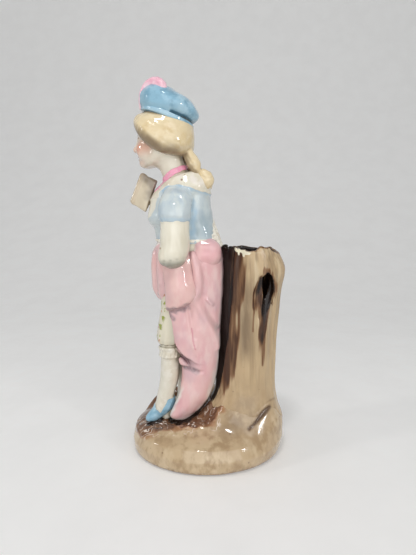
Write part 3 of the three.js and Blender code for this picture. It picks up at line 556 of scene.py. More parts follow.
def ringlet(side):
    rows = np.array([
        [-10.4, 4, 154.6, 2.6], [-8.6, 4.8, 151.2, 3], [-7, 5.3, 148.2, 3.4], [-6, 5.4, 145.9, 2.6],
        [-4.3, 5.3, 144.6, 1.7], [-2.5, 5.1, 143.5, 2.5], [-1, 4.9, 141.8, 3.4], [-0.5, 4.7, 140, 3.5],
        [-0.7, 4.5, 138.4, 2.3],
    ]) * [1, side, 1, 1]
    if side > 0:
        rows = rows + [-0.5, 0, -1, 0]

    def form(p):
        twist = np.sin((p[2] - 1.1 * p[0] + 0.8 * side * p[1]) * 2 * math.pi / 5.2)
        f = chain(p, rows, 4) - 0.07 * twist
        creases = [
            ([[-9.6, 151.4], [-8.2, 148.6], [-6.4, 146.6]], 0.35, 0.55),
            ([[-2.6, 142], [-0.4, 141], [1.6, 141.4]], 0.3, 0.5),
        ]
        return f + creased(p, creases, side)

    return form


def beret_band(p):
    u, v, w = turned(p, (-20.1, 0, 170.7), 0, 20)
    ring = np.hypot(u / 12.5, v / 11.5)
    out = (ring - 1) * 12.4
    lie = np.hypot(np.maximum(np.abs(out) - 0.3, 0), np.maximum(np.abs(w) - 0.5, 0)) - 0.65
    disc = smax(ring * 12.4 - 12, np.abs(w) - 1.3, 1)
    return smin(lie, disc, 0.8)


def beret_crown(p):
    f = ball(p, (-18.1, 0, 176.3), (14.5, 13.9, 7.1), tip=24)
    f = smin(f, ball(p, (-24.6, 0, 178.8), (8.8, 11.4, 7.4), tip=8), 2.5)
    f = smin(f, ball(p, (-20.4, 0, 174.2), (13, 12.7, 4.7), tip=17), 2)
    q = turned(p, (-18.4, 0, 176.2), 0, 24)
    f = f - 0.14 * wave(q, 8.5, 61) * ramp(-6, 1, q[2] + 3)
    creases = [
        ([[-27.5, 180.6], [-25, 178.4], [-21, 177.2], [-17, 177.4]], 0.3, 1.8),
        ([[-17, 171.4], [-12.6, 169.8], [-8.6, 168.4], [-6, 168.2]], 0.9, 0.9),
    ]
    return f + creased(p, creases)


PLUME = [
    [-32.9, -3.4, 174.6, 0.5], [-32.6, -4.6, 178.4, 0.7], [-31.3, -5.6, 181.8, 1], [-29.3, -6.4, 184.4, 1.4],
    [-26.8, -6.8, 185.6, 2], [-24.2, -7.2, 185.5, 2.5], [-22.1, -8, 184, 2.5], [-21, -9.2, 182.2, 1.7],
    [-21, -10, 181, 0.8],
]


def plume(p):
    f = chain(p, PLUME)
    barb = np.sin((p[0] * 0.9 - p[2] * 0.5 + p[1] * 0.4) * 2 * math.pi / 2.2 + 0.6 * wave(p, 6, 71))
    f = f - 0.08 * barb * ramp(178, 185, p[2])
    return f + groove(p, [[-29.8, 184], [-27.2, 185.4], [-24.6, 185], [-22.4, 182.8]], 0.3, 0.6)


# The arms
def left_arm(p):
    f = sweep(p, [
        [-15.6, -14.4, 127, 6.6, 6.2], [-15.7, -15, 121, 6.9, 6.5], [-15.8, -15.1, 113, 7.1, 6.7],
        [-15.9, -15.1, 108, 7.1, 6.7], [-16.4, -15, 104.6, 6.8, 6.4],
    ], soft=2.6)
    f = smin(f, ball(p, (-16.8, -14.9, 104.4), (6.8, 6.4, 6.5), tip=-10), 2)
    f = smin(f, ball(p, (-20.2, -14.6, 103.2), (3.4, 4.6, 4)), 1.6)
    for i, across in enumerate((-20.8, -17.8, -14.8)):
        f = f + groove(p, [[across + 0.2, 101.6 + 0.4 * i], [across, 98.2 + 0.9 * i]], 0.22, 0.6)
    return f + 0.07 * wave(p, 11, 75)


def sleeve(side):
    rows = [
        [-14.8, side * 8.4, 136.4, 5.2, 4.6], [-15.2, side * 11.2, 132.4, 7.2, 6.2],
        [-15.8, side * 13.6, 127.6, 8, 7.2], [-15.9, side * 14.9, 123.6, 7.8, 7.4],
        [-15.8, side * 15.1, 120, 7.2, 6.9],
    ]

    def pleats(spin, up):
        hem = 0.16 * np.cos(8 * spin + 1) * fade(120, 125, up)
        return hem + 0.25 * np.cos(7 * spin) * ramp(129, 135, up)

    def form(p):
        f = sweep(p, rows, soft=1.8, relief=pleats)
        creases = [
            ([[-22.6, 122.6], [-16, 121.8], [-9.4, 122.4]], 0.18, 0.9),
            ([[-21.2, 131], [-21, 127], [-20.6, 122.6]], -0.3, 1.2),
            ([[-13, 133.6], [-11, 130.6], [-11.4, 126.4], [-12, 122.4]], -0.45, 1.1),
        ]
        return f + creased(p, creases, side) + 0.1 * wave(p, 7, 76)

    return form


def right_arm(p):
    f = chain(p, [[-14.6, 15.2, 125, 5.8], [-15.2, 16.4, 119, 5.6], [-15.9, 17, 113.6, 5.1]])
    f = smin(f, chain(p, [
        [-15.9, 17, 113.6, 4.9], [-20.6, 13.2, 120.6, 4.3], [-25.6, 9.6, 127.2, 3.1],
        [-28.4, 7.6, 130.8, 2.9],
    ]), 2)
    f = smin(f, ball(p, (-29.2, 6.9, 132.6), (3.3, 2.5, 4), tip=-20), 1.4)
    for i in range(4):
        z = 130.6 + 1.5 * i
        knuckle = [-28.4 + 0.4 * i, 7, z, 0.95]
        joint = [-31.6 + 0.5 * i, 5.9, z + 0.5, 0.9]
        tip = [-33 + 0.5 * i, 4.6, z + 0.4, 0.75]
        f = smin(f, chain(p, [knuckle, joint, tip]), 0.5)
    return f


def leaf(p, origin, across, up, long, high, thick):
    """A sheet whose edges run along two directions that need not be square to each other."""
    across, up = np.array(across) / np.linalg.norm(across), np.array(up) / np.linalg.norm(up)
    through = np.cross(across, up)
    through /= np.linalg.norm(through)
    place = np.linalg.inv(np.stack([across, up, through], 1)).tolist()
    x, y, z = p[0] - origin[0], p[1] - origin[1], p[2] - origin[2]
    a, b, c = (row[0] * x + row[1] * y + row[2] * z for row in place)
    c = c - 0.5 * np.sin(a * 0.28) + 0.02 * b * b * 0.3
    corner = 0.8
    past_end = np.maximum(np.abs(a - long / 2) - long / 2 + corner, 0)
    past_top = np.maximum(np.abs(b) - high + corner, 0)
    return smax(np.hypot(past_end, past_top) - corner, np.abs(c) - thick, corner)


def letter(p):
    origin = (-35.9, 1.4, 136.9)
    near = leaf(p, origin, (0.80, -0.16, -0.52), (0.36, 0, 0.93), 8.6, 8, 0.75)
    far = leaf(p, origin, (0.84, 0.42, -0.36), (0.36, 0, 0.93), 8.6, 7.8, 0.7)
    x, y, z = p[0] - origin[0], p[1] - origin[1] - 0.2, p[2] - origin[2]
    run = x * 0.382 + z * 0.924
    spine = smax(np.sqrt(np.maximum(x * x + y * y + z * z - run * run, 0)) - 1.25, np.abs(run) - 7.9, 1.4)
    return smin(smin(near, far, 1.2), spine, 1.4)


# The overskirt
def left_swag(p):
    x, _, z = p
    f = sweep(p, [
        [-15.8, -10, 107, 6.4, 4], [-15.4, -10.8, 101, 7, 4.9], [-14.7, -11.6, 95, 7.3, 5.6],
        [-13.7, -12.2, 89, 7.7, 6.1], [-13.3, -12.2, 84, 7.9, 5.9], [-13.6, -11.6, 79, 7.4, 5.2],
        [-14.4, -10.8, 74, 6.6, 4.2],
    ], soft=3, relief=lambda spin, up: 0.2 * np.cos(5 * spin + 1.4) * ramp(82, 98, up))
    hem = [-24, -20.3, -17.3, -14.1, -11.2, -7.9, -5.5, -3]
    low = along(x, hem, [75.4, 75.8, 76.9, 77.5, 78.6, 80.8, 83.4, 87])
    f = smax(f, (low - z) * 0.9, 2.6)
    creases = [
        ([[-20.4, 100], [-19.8, 95], [-20.4, 89]], 0.3, 1.2),
        ([[-10.6, 102], [-9.4, 97], [-8.8, 92]], 0.3, 1.2),
    ]
    return f + creased(p, creases) + 0.1 * wave(p, 8, 81)


def right_swag(p):
    x, y, z = p

    def pleats(spin, up):
        return 0.3 * np.cos(9 * spin + 0.7) * fade(98, 109, up) + 0.18 * np.cos(14 * spin)

    f = sweep(p, [
        [-16.2, 1.4, 111.4, 8.8, 10.8], [-16.8, 1.5, 107.8, 10.5, 13.2], [-17.4, 1.5, 104.6, 11.4, 14.2],
        [-17.8, 1.5, 98, 11.5, 14.8], [-17.9, 1.6, 91.5, 11.4, 14.8], [-17.8, 1.8, 86, 11, 14.2],
        [-17, 2, 81.4, 9.6, 12.6], [-16, 2.2, 77, 7.8, 10.6],
    ], soft=2, relief=pleats)
    low = along(x, [-31, -28.6, -26.2, -23, -18, -10], [85.6, 83.4, 80.6, 79.4, 79.2, 81])
    low = low + 0.5 * np.sin(y * 0.5)
    f = smax(f, (low - z) * 0.85, 1.8)
    creases = [
        ([[-26.4, 105.6], [-26, 100], [-26, 94], [-25.2, 86]], 0.75, 1.2),
        ([[-24, 104.6], [-23.4, 98], [-23.4, 90]], -0.4, 1.3),
    ]
    return f + creased(p, creases) + 0.1 * wave(p, 7, 82)


def back_puff(p):
    x, y, z = p
    f = slab(p, (-0.9, -0.6, 104.9), (7.5, 12, 6.9), 5.8)
    gather = wave((x * 0.8, y, z), 7, 83, (1, 1, 0.5))
    f = f - 0.18 * gather
    return f + groove(p, [[-6.8, 107.4], [-3.6, 106], [0.2, 105.8]], 0.2, 1.2)


TRAIN = [
    [-2.8, 0.2, 106, 10.2, 10.2], [-3, -0.4, 98, 11.4, 11.2], [-3.6, -1, 86, 12.4, 11],
    [-4.8, -1.8, 72, 12.5, 10.8], [-4.8, -2.4, 60, 12.1, 10.2], [-4.2, -2.8, 50, 10.6, 9],
    [-4.8, -3.1, 40, 9.8, 8.2], [-6.8, -3.6, 30.5, 9.2, 7.4], [-10.3, -4.2, 23.5, 9, 6],
    [-13, -4.8, 19.5, 7.9, 4.6], [-14.2, -5, 16.6, 4.6, 3.4],
]
LIP = [[-18.4, 61.6], [-16.6, 58.6], [-13.7, 54.6], [-10.8, 52], [-7.4, 50.2], [-5.1, 48.9], [-2.6, 48.6]]
PINCH = [[-14.6, 47.2], [-12.1, 46.8], [-10.4, 46.6], [-8.3, 46], [-5.5, 44.8], [-3.2, 44.4]]


def train(p):
    x, y, z = p
    pleats = lambda spin, up: 0.22 * np.cos(6 * spin + 0.8) * ramp(24, 60, up)
    f = sweep(p, TRAIN, turn=36, soft=1.6, relief=pleats)
    strip = [
        [-7.6, -11.2, 104.5, 1.6], [-5.8, -12.3, 98, 2.2], [-5.2, -12.7, 92, 2.3], [-5.4, -12.5, 86.4, 2],
        [-8.2, -12.2, 81.4, 1.6],
    ]
    f = smin(f, chain(p, strip), 2.4)
    flap = [
        [-14.6, -7.8, 82, 6.6, 4.4], [-14.7, -8.4, 75.5, 6.4, 5], [-13, -8.5, 69.5, 6.4, 5],
        [-11.6, -8.2, 61, 5.9, 4.7], [-11, -7.8, 55, 5.4, 4.3], [-10.4, -7.4, 51.5, 4, 3.8],
    ]
    f = smin(f, sweep(p, flap, soft=2.2), 2.2)
    creases = [
        ([[-6.8, 83.4], [-5.2, 79.1], [-2.3, 74.1], [1, 68.5], [3.9, 62.5], [5.6, 56]], -0.85, 1.6),
        ([[-2.4, 83.6], [-0.2, 77.6], [2.2, 71.8], [4.8, 66]], 0.75, 1.4),
        ([[-0.6, 82], [0.9, 80.6], [2.2, 79.4]], -0.7, 0.9),
        ([[-10.8, 78], [-9.6, 69.8], [-8.4, 62.5], [-7.5, 57.6]], -0.42, 0.9),
        ([[-9, 77.4], [-8, 70.4], [-6.9, 63]], 0.3, 0.9),
        ([[-5.9, 81.2], [-5.2, 74.8], [-4.8, 68]], 0.3, 1),
        ([[-5.8, 61.5], [-5.3, 59], [-6.5, 56.4], [-6, 53.4]], -0.35, 0.6),
    ]
    f = f + creased(p, creases)
    # The upper drape turns under at its lower corner, over a small pinched lobe.
    dist, side = beside(x, z, LIP)
    reach = hill((x + 12.2, 6.4)) * ramp(0, 5, -y)
    hem, hollow = 0.5 * np.exp(-dist / 3.2), 1.1 * hill((dist, 3.4)) * ramp(-0.2, 0.9, dist)
    f = f - np.where(side > 0, hem, -hollow) * reach
    f = smin(f, chain(p, [
        [-13.9, -9.6, 50.4, 1.1], [-12.6, -10.4, 49, 1.8], [-10.8, -10.9, 47.8, 1.1],
    ]), 0.7)
    f = f + groove(p, PINCH, 0.6, 0.9)
    creases = [
        ([[-12.2, 52], [-10.6, 49.6], [-8.9, 47.4]], 0.5, 0.6),
        ([[6.6, 92], [6.2, 70], [5.6, 56], [5, 45], [3.2, 35.5], [-0.6, 27.6], [-5.6, 20.6]], -0.3, 1),
    ]
    return f + creased(p, creases) + 0.1 * wave(p, 9, 84)


def waist_frill(p):
    x, y, z = p
    spin = np.arctan2(y / 10.9, (x + 11.3) / 14.4)
    waist = torso((x, y, np.clip(z, 112, 140))) - 0.35 - 0.12 * np.cos(34 * spin)
    hem = smax(waist, np.abs(z - 110.9) - 0.6, 0.4)
    lace = 0.35 * np.cos(z * 2.9) * np.cos(y * 1.1) + 0.25 * np.cos(y * 2.3 + 0.3)
    fan = smax(sweep(p, FAN, soft=1.2) + lace, -x - 1, 0.5)
    return smin(hem, smax(fan, z - 121.6, 1), 0.5)


FORMS = {
    "stump_vase": trunk,
    "base_mound": mound,
    "left_stocking": stocking("left"),
    "right_stocking": stocking("right"),
    "left_shoe": shoe("left"),
    "right_shoe": shoe("right"),
    "left_knee_band": knee_band("left"),
    "right_knee_band": knee_band("right"),
    "breeches": breeches,
    "head": head,
    "letter": letter,
    "left_arm": left_arm,
    "right_arm": right_arm,
    "left_sleeve": sleeve(-1),
    "right_sleeve": sleeve(1),
    "neck_ribbon": neck_ribbon,
    "jacket": jacket,
    "kerchief": kerchief,
    "near_ringlet": ringlet(-1),
    "far_ringlet": ringlet(1),
    "beret_band": beret_band,
    "hair": hair,
    "plume": plume,
    "beret_crown": beret_crown,
    "left_swag": left_swag,
    "waist_frill": waist_frill,
    "back_puff": back_puff,
    "right_swag": right_swag,
    "train": train,
}
GRID = {
    "base_mound": 0.62, "stump_vase": 0.62, "train": 0.5, "breeches": 0.55, "jacket": 0.5, "head": 0.34,
    "hair": 0.42, "beret_crown": 0.45,
}


# The skin as one
def whole(p, near):
    own = {name: FORMS[name](p) for name in near}
    joined = dict(own)
    pair = ("base_mound", "stump_vase")
    if any(name in own for name in pair):
        for name in pair:
            joined.pop(name, None)
            if name not in own:
                own[name] = FORMS[name](p)
        joined["vessel"] = vessel(p, own)
    if "jacket" in own:
        parts = [joined.pop(name) for name in CLOTHES if name in joined]
        joined["jacket"] = reduce(lambda f, other: smin(f, other, 2), parts)
    total = sum(np.exp(-np.clip(f, -12, 12) / SLIP) for f in joined.values())
    skin = -SLIP * np.log(total)
    if "stump_vase" in own:
        skin = smax(skin, -cavity(p), 1)
    return skin, own


def piece_field(p, name, near):
    """The whole skin at p, and the field of one piece's own share of it."""
    skin, own = whole(p, near)
    rest = [f for other, f in own.items() if other != name]
    if not rest:
        return skin, skin
    return skin, skin + SHARPNESS * np.maximum(own[name] - reduce(np.minimum, rest), 0)


# How far a dressed piece passes its own solid's box: to the left, near side and below, then right,
# far and above.
SPILL = {
    "right_swag": ((0, 1.6, 4), (0, 0, 0)),
    "left_swag": ((0, 0, 2), (0, 0, 0)),
    "left_shoe": ((0, 0, 0), (0, 0, 4)),
    "jacket": ((0, 0, 0.8), (1.5, 0, 0)),
    "plume": ((0, 5, 0), (0, 0, 0)),
    "train": ((2, 0, 0), (0, 0, 0)),
}
BOXES = {}
for name in FORMS:
    low, high = box(name)
    less, more = SPILL.get(name, (0, 0))
    BOXES[name] = (low - less, high + more)
REACH = 3.6  # farther than this from a piece's box, it no longer matters
MARGIN = 3.2  # how far a piece's grid passes its box
FINE = 0.4  # the grid's step, unless GRID gives another
BLOCK = 22  # how many steps of a grid are worked out at once
BATCH = 6000  # and how many points
THREADS = 4
OUTSIDE = 9
SHARPNESS = 1.4  # how sharply a piece is cut where the next one begins
CLOTHES = ("jacket", "kerchief", "left_sleeve", "right_sleeve")


def neighbours(names, low, high):
    return [n for n in names if (BOXES[n][0] - REACH < high).all() and (BOXES[n][1] + REACH > low).all()]


def fill(name, near, low, shape, h):
    """Both fields on a grid, block by block, with only the pieces near each block."""
    skin = np.full(shape, OUTSIDE, np.float32)
    own = skin.copy()
    axes = [(low[i] + h * np.arange(shape[i])).astype(np.float32) for i in range(3)]
    starts = product(*(range(0, length, BLOCK) for length in shape))

    def work(start):
        cut = tuple(slice(s, s + BLOCK) for s in start)
        part = [axes[i][cut[i]] for i in range(3)]
        local = neighbours(near, [a[0] for a in part], [a[-1] for a in part])
        if name in local:
            skin[cut], own[cut] = piece_field(np.meshgrid(*part, indexing="ij"), name, local)

    with ThreadPoolExecutor(THREADS) as pool:
        list(pool.map(work, starts))
    for i in range(3):
        cut = [slice(None)] * 3
        for end in (0, -1):
            cut[i] = end
            own[tuple(cut)] = np.maximum(own[tuple(cut)], 0.05)
    return skin, own


def net(f, low, h):
    """The zero surface of a grid as a closed mesh of quads."""
    shape = f.shape
    inside = f < 0
    corners = list(product((0, 1), repeat=3))
    n = np.array(shape) - 1
    part = lambda a, c: a[c[0] : c[0] + n[0], c[1] : c[1] + n[1], c[2] : c[2] + n[2]]
    count = sum(part(inside, c).astype(np.int8) for c in corners)
    active = (count > 0) & (count < 8)
    number = np.full(n, -1)
    number[active] = np.arange(active.sum())
    cells = np.argwhere(active)
    total = np.zeros((len(cells), 3))
    hits = np.zeros(len(cells))
    value = {c: part(f, c)[active].astype(float) for c in corners}
    for a in corners:
        for axis in range(3):
            if a[axis]:
                continue
            b = tuple(1 if i == axis else a[i] for i in range(3))
            cross = (value[a] < 0) != (value[b] < 0)
            t = np.where(cross, value[a] / np.where(cross, value[a] - value[b], 1), 0)
            point = np.array(a, float)[None, :] + 0 * total
            point[:, axis] += t
            total += point * cross[:, None]
            hits += cross
    points = low + h * (cells + total / hits[:, None])
    quads = []
    for axis in range(3):
        u, v = (axis + 1) % 3, (axis + 2) % 3
        first = [slice(None)] * 3
        second = [slice(None)] * 3
        first[axis], second[axis] = slice(0, -1), slice(1, None)
        flips = inside[tuple(first)] != inside[tuple(second)]
        edge = np.argwhere(flips)
        edge = edge[(edge[:, u] > 0) & (edge[:, v] > 0) & (edge[:, u] < n[u]) & (edge[:, v] < n[v])]
        outward = inside[tuple(first)][tuple(edge.T)]
        ring = []
        for du, dv in ((-1, -1), (0, -1), (0, 0), (-1, 0)):
            cell = edge.copy()
            cell[:, u] += du
            cell[:, v] += dv
            ring.append(number[tuple(cell.T)])
        quad = np.stack(ring, 1)
        quad[~outward] = quad[~outward][:, ::-1]
        quads.append(quad)
    return points, np.vstack(quads)


def read(grid, low, h, points):
    """The value of a grid between its points."""
    q = (points - low) / h
    cell = np.clip(np.floor(q).astype(int), 0, np.array(grid.shape) - 2)
    t = np.clip(q - cell, 0, 1)
    total = 0
    for corner in product((0, 1), repeat=3):
        share = np.prod(np.where(corner, t, 1 - t), axis=1)
        total = total + share * grid[tuple((cell + corner).T)]
    return total


def slope(grid, low, h, points):
    steps = np.eye(3) * h * 0.6
    g = np.stack([read(grid, low, h, points + s) - read(grid, low, h, points - s) for s in steps], 1)
    return g / (np.linalg.norm(g, axis=1, keepdims=True) + 1e-9)


def exact(name, near, points):
    """The field of a piece's own share, worked out at each point."""
    out = np.empty(len(points))

    def work(start):
        part = points[start : start + BATCH]
        local = neighbours(near, part.min(0), part.max(0))
        out[start : start + BATCH] = piece_field(tuple(part.T.astype(np.float32)), name, local)[1]

    with ThreadPoolExecutor(THREADS) as pool:
        list(pool.map(work, range(0, len(points), BATCH)))
    return out


def build(name):
    low, high = BOXES[name]
    low, high = low - MARGIN, high + MARGIN
    near = neighbours(FORMS, low, high)
    h = GRID.get(name, FINE) * STEP
    skin, own = fill(name, near, low, (np.ceil((high - low) / h).astype(int) + 1), h)
    points, quads = net(own, low, h)
    for _ in range(2):
        away = np.clip(exact(name, near, points), -0.4 * h, 0.4 * h)
        points = points - slope(own, low, h, points) * away[:, None]
    normal = slope(skin, low, h, points)
    # How closed in each point lies: the glazes darken the creases by it, for pooled glaze and painted shade.
    crease_pool_and_shade = 0
    for reach in (0.9, 2.4):
        crease_pool_and_shade = crease_pool_and_shade + 0.5 * np.clip(1 - read(skin, low, h, points + normal * reach) / reach, 0, 1)
    thin = np.clip(1 + read(skin, low, h, points - normal * 1.3) / 1.3, 0, 1)
    mesh = bpy.data.meshes.new(name + "_glazed")
    mesh.vertices.add(len(points))
    mesh.vertices.foreach_set("co", (points / 1000).astype(np.float32).ravel())
    mesh.loops.add(quads.size)
    mesh.loops.foreach_set("vertex_index", quads.astype(np.int32).ravel())
    mesh.polygons.add(len(quads))
    mesh.polygons.foreach_set("loop_start", np.arange(0, quads.size, 4, dtype=np.int32))
    mesh.update(calc_edges=True)
    mesh.validate()
    mesh.polygons.foreach_set("use_smooth", np.ones(len(mesh.polygons), bool))
    traits = {"crease_pool_and_shade": crease_pool_and_shade, "thin": thin}
    if name in PAINT:
        traits.update(PAINT[name](tuple(points.T), normal))
    if len(mesh.vertices) == len(points):
        for trait, values in traits.items():
            layer = mesh.attributes.new(trait, "FLOAT", "POINT")
            layer.data.foreach_set("value", np.asarray(values, np.float32))
    made = bpy.data.objects.new("glazed_" + name, mesh)
    bpy.context.scene.collection.objects.link(made)
    return made


# Where the painter put colour, and where shade and highlights are painted
def stroke(p, path, inner, outer, wander=0):
    """1 along a line drawn in x and z, fading between two distances from it."""
    dist, _ = beside(p[0], p[2], path)
    return fade(inner, outer, dist + wander)


def paint_head(p, normal):
    u, v, w = head_place(p)
    m = np.abs(v)
    blush = hill((m - 6.2, 3.6), (w + 4.6, 3.4)) * ramp(1, 6, u)
    blush = np.maximum(blush, 0.7 * hill((v, 1.8), (w + 4.2, 1.8)) * ramp(12, 14.5, u))
    blush = np.maximum(blush, 0.35 * hill((w + 11.2, 2)) * ramp(6, 11, u))
    lips = hill((w + 8.4, 1.15)) * fade(1.9, 2.9, m) * ramp(11.2, 12.2, u)
    eye = np.exp(-((((m - 3.8) / 0.95) ** 2 + (w / 0.95) ** 2) ** 2)) * ramp(9, 11, u)
    lash, _ = beside(m, w, [[2, 0.4], [3.2, 1.25], [4.6, 1.2], [5.9, 0.2]])
    brow, _ = beside(m, w, [[1.7, 3.6], [3.4, 4.5], [5.4, 4], [6.8, 2.9]])
    lash = fade(0.16, 0.42, lash) * ramp(9, 10.5, u)
    brow = 0.7 * fade(0.2, 0.5, brow) * ramp(8, 10, u)
    return {"blush": blush, "lips": lips, "eye": eye, "line": np.maximum(lash, brow)}


def paint_jacket(p, normal):
    x, y, z = p
    heights = [116, 121.5, 122.6, 123.2, 125, 128, 131.4, 134]
    left = along(z, heights, [-31, -30.4, -28.8, -27.7, -27, -25.4, -24.8, -24.4])
    front = ramp(-0.35, 0.35, left - x + 0.2 * wave(p, 3, 103)) * ramp(120.5, 121.8, z)
    edge = 0.6 * stroke(p, COLLAR[:9], 0.3, 2, 0.6 * wave(p, 5, 104)) * (1 - front)
    armhole = [[-8, 131], [-7, 124], [-7.6, 116], [-7.4, 112]]
    edge = np.maximum(edge, 0.6 * stroke(p, armhole, 0.2, 2.6, 0.5 * wave(p, 4, 105)) * ramp(0, 5, -y))
    low = hill((x + 1.5, 6.5), (z - 117, 8.5)) * ramp(0, 6, -y)
    return {"front": front, "edge": edge, "shade": low}


def paint_sleeve(p, normal):
    x, _, z = p
    edge = 0.35 * fade(0.2, 1.6, np.abs(z - 121.2) + 0.3 * wave(p, 3, 106))
    edge = np.maximum(edge, 0.6 * fade(0.4, 2.6, x + 24.4))
    return {"edge": edge}


def paint_hair(p, normal):
    x, _, z = p
    across = [-36, -34.1, -31.8, -27.7, -24.9, -21.2, -12.7, -7.1]
    rim = along(x, across, [167.4, 166.4, 162.9, 158.8, 155.6, 152.9, 151.5, 152.9])
    shade = fade(0.6, 5.4, z - rim + 0.3 * wave(p, 9, 116))
    return {"shade": shade * ramp(-0.35, 0.45, -normal[:, 2]) * (1 - 0.5 * ramp(-16, -10, x))}


def paint_ringlet(p, normal):
    left = [[-11.6, 152.4], [-10.4, 149], [-9.4, 146.4], [-7, 144]]
    return {"shade": 0.8 * stroke(p, left, 0.6, 3, 0.4 * wave(p, 3, 117))}


def specks(p, places):
    """Pinholes in the glaze, given in x and z on the near side, with their radius."""
    found = [fade(0.5 * r, r, np.hypot(p[0] - x, p[2] - z)) for x, z, r in places]
    return np.maximum.reduce(found) * ramp(0, 3, -p[1])


def paint_kerchief(p, normal):
    return {"speck": specks(p, [(-12.7, 140.3, 0.65), (-11.2, 142.6, 0.45)])}


def paint_arm(p, normal):
    z = p[2]
    low = ramp(0.05, 0.75, -normal[:, 2]) * fade(101.5, 105.5, z + 0.6 * wave(p, 4, 107))
    return {"shade": low, "speck": specks(p, [(-22.6, 107.8, 0.6), (-22.4, 116.9, 0.45)])}


def paint_letter(p, normal):
    fold = [[-30.5, 142.4], [-27, 139], [-27.6, 133.6]]
    return {"shade": 0.08 + 0.85 * stroke(p, fold, 0.6, 6.2, 0.4 * wave(p, 3, 108))}


def fissure_shade(p):
    """Where the mound's fissure and the seam above it are darkened with painted shade."""
    return np.maximum(fade(0, 1.5, chain(p, SLIT)), 0.7 * fade(0, 0.6, chain(p, SEAM)))


def paint_mound(p, normal):
    x, y, z = p
    level = z - GROUND - lift(x, y)
    feet = footprint(x, y)
    pool = fade(6, 13, feet + 1.1 * wave(p, 9, 91))
    behind = fade(-8, 6, x) * ramp(-6, 0, y)
    pool = np.maximum(pool, 0.9 * behind + 0.2 * wave(p, 10, 93) * behind)
    stain = hill((x + 33, 7), (y + 8, 9))
    pool = np.maximum(pool, 0.9 * stain)
    # dark: near-black painted shadow where the shoes and the train meet the mound, and in the groove between
    # the train and the stump.
    close = np.minimum(np.minimum(limb(p, LEGS["left"]), limb(p, LEGS["right"])), train(p))
    dark = fade(1.2, 4.6, close + 0.7 * wave(p, 5, 94))
    dark = np.maximum(dark, 0.95 * hill((x - 7.5, 3.4), (y + 9.5, 3.6)))
    # pond: the glassy pool, which gets ripples and painted highlights.
    pond = fade(9.5, 13.5, feet + 0.8 * wave(p, 6, 118)) * fade(-2, 6, y) * ramp(-6, -3, level)
    root = hill((x - 15, 12), (y + 17, 9), (z - 20, 8))
    pool, dark = pool * ramp(-8, -4, level), dark * fade(14, 20, x)
    return {"pool": pool, "dark": dark, "crack_shade": fissure_shade(p), "pond": pond, "root": root}


def paint_stump(p, normal):
    x, y, z = p
    turn = round_the_stump(x, y)
    wander = wave(p, 60, 95, (0.1, 0.1, 1)) + 0.5 * wave(p, 16, 96, (0.3, 0.3, 1))
    thin = wave(((turn - 180) * 0.28, z, 0 * z), 2.2, 115, (1, 0.06, 0))
    beyond = turn - dark_edge(z)
    dark = ramp(176, 186, turn) * fade(-2.5, 3.5, beyond + 0.8 * wander + 2.2 * thin) * ramp(20, 30, z)
    dark = dark * (1 - 0.45 * hill((beyond + 6, 4)) * ramp(70, 96, z))
    reach = along(z, [24, 34, 43, 62, 74, 90, 107], [14, 20, 24, 28, 22, 27, 26])
    brown = ramp(176, 186, turn) * fade(0.5, 1.05, beyond / reach + 0.22 * wander + 0.25 * thin)
    brown = brown * (0.25 + 0.75 * ramp(24, 42, z + 1.5 * wander))
    knot = chain(p, KNOT)
    hole = fade(-0.3, 0.9, knot + 0.25 * wave(p, 3, 97, (1, 1, 0.3)))
    tail = 1.4 * fade(0.1, 1.3, knot + 0.4 * wave(p, 3, 119, (1, 1, 0.15))) * fade(78, 86, z)
    halo = 0.75 * fade(0.2, 2.4, knot + 0.9 * wave(p, 3, 97, (1, 1, 0.15)))
    scoop = fade(-0.5, 1.3, chain(p, SCOOP) + 0.7 * wave(p, 2.4, 98, (1, 1, 0.15)))
    run = [[24.6, 91], [23.2, 84], [22.8, 78], [22.6, 72], [22.5, 66]]
    thread = stroke(p, run, 0.2, 0.75) * ramp(0, 4, -y)
    # inner: painted shade inside the hollow, in dark and in brown.
    inner = fade(-2, -1.2, stump_skin(p))
    edge = z - along(turn, RIM[:, 0], RIM[:, 1])
    rim = ramp(-1.1, -0.3, edge)
    chips = [  # the turn and the width of each, its height and its wave
        (252, 8, 1, 2.2, 0.35, 3, 99),
        (240, 7, 1, 1, 0.3, 2, 100),
        (262, 8, 1.1, 1.1, 0.3, 2, 102),
    ]
    chip = 0
    for middle, width, down, high, rough, size, seed in chips:
        off = np.hypot((turn - middle) / width, (edge + down) / high)
        chip = np.maximum(chip, fade(0.6, 1, off + rough * wave(p, size, seed)))
    # The knothole is painted near-black: dark brown paint deepened with painted shade.
    knot_dark = hole * (0.6 + 0.4 * ramp(70, 80, z))
    browns = [1.1 * brown, 1.15 * scoop, halo, tail, 0.8 * thread, rim * 0.8, inner]
    # A greyer band down the front of the stump: painted shade.
    mid_shade = hill((turn - 262, 15)) * ramp(42, 58, z + 3 * wander) * fade(84, 96, z + 2 * wander)
    return {
        "dark": np.clip(np.maximum.reduce([dark, knot_dark, inner * 0.8]), 0, 1),
        "brown": np.clip(np.maximum.reduce(browns), 0, 1.4),
        "chip": chip * (1 - inner),
        "bark": 0.3 + 0.7 * ramp(26, 80, z + 4 * wander),
        "mid_shade": mid_shade,
        "root": hill((z - 28, 11)) * hill((turn - 262, 26)),
        "crack_shade": fissure_shade(p),
    }


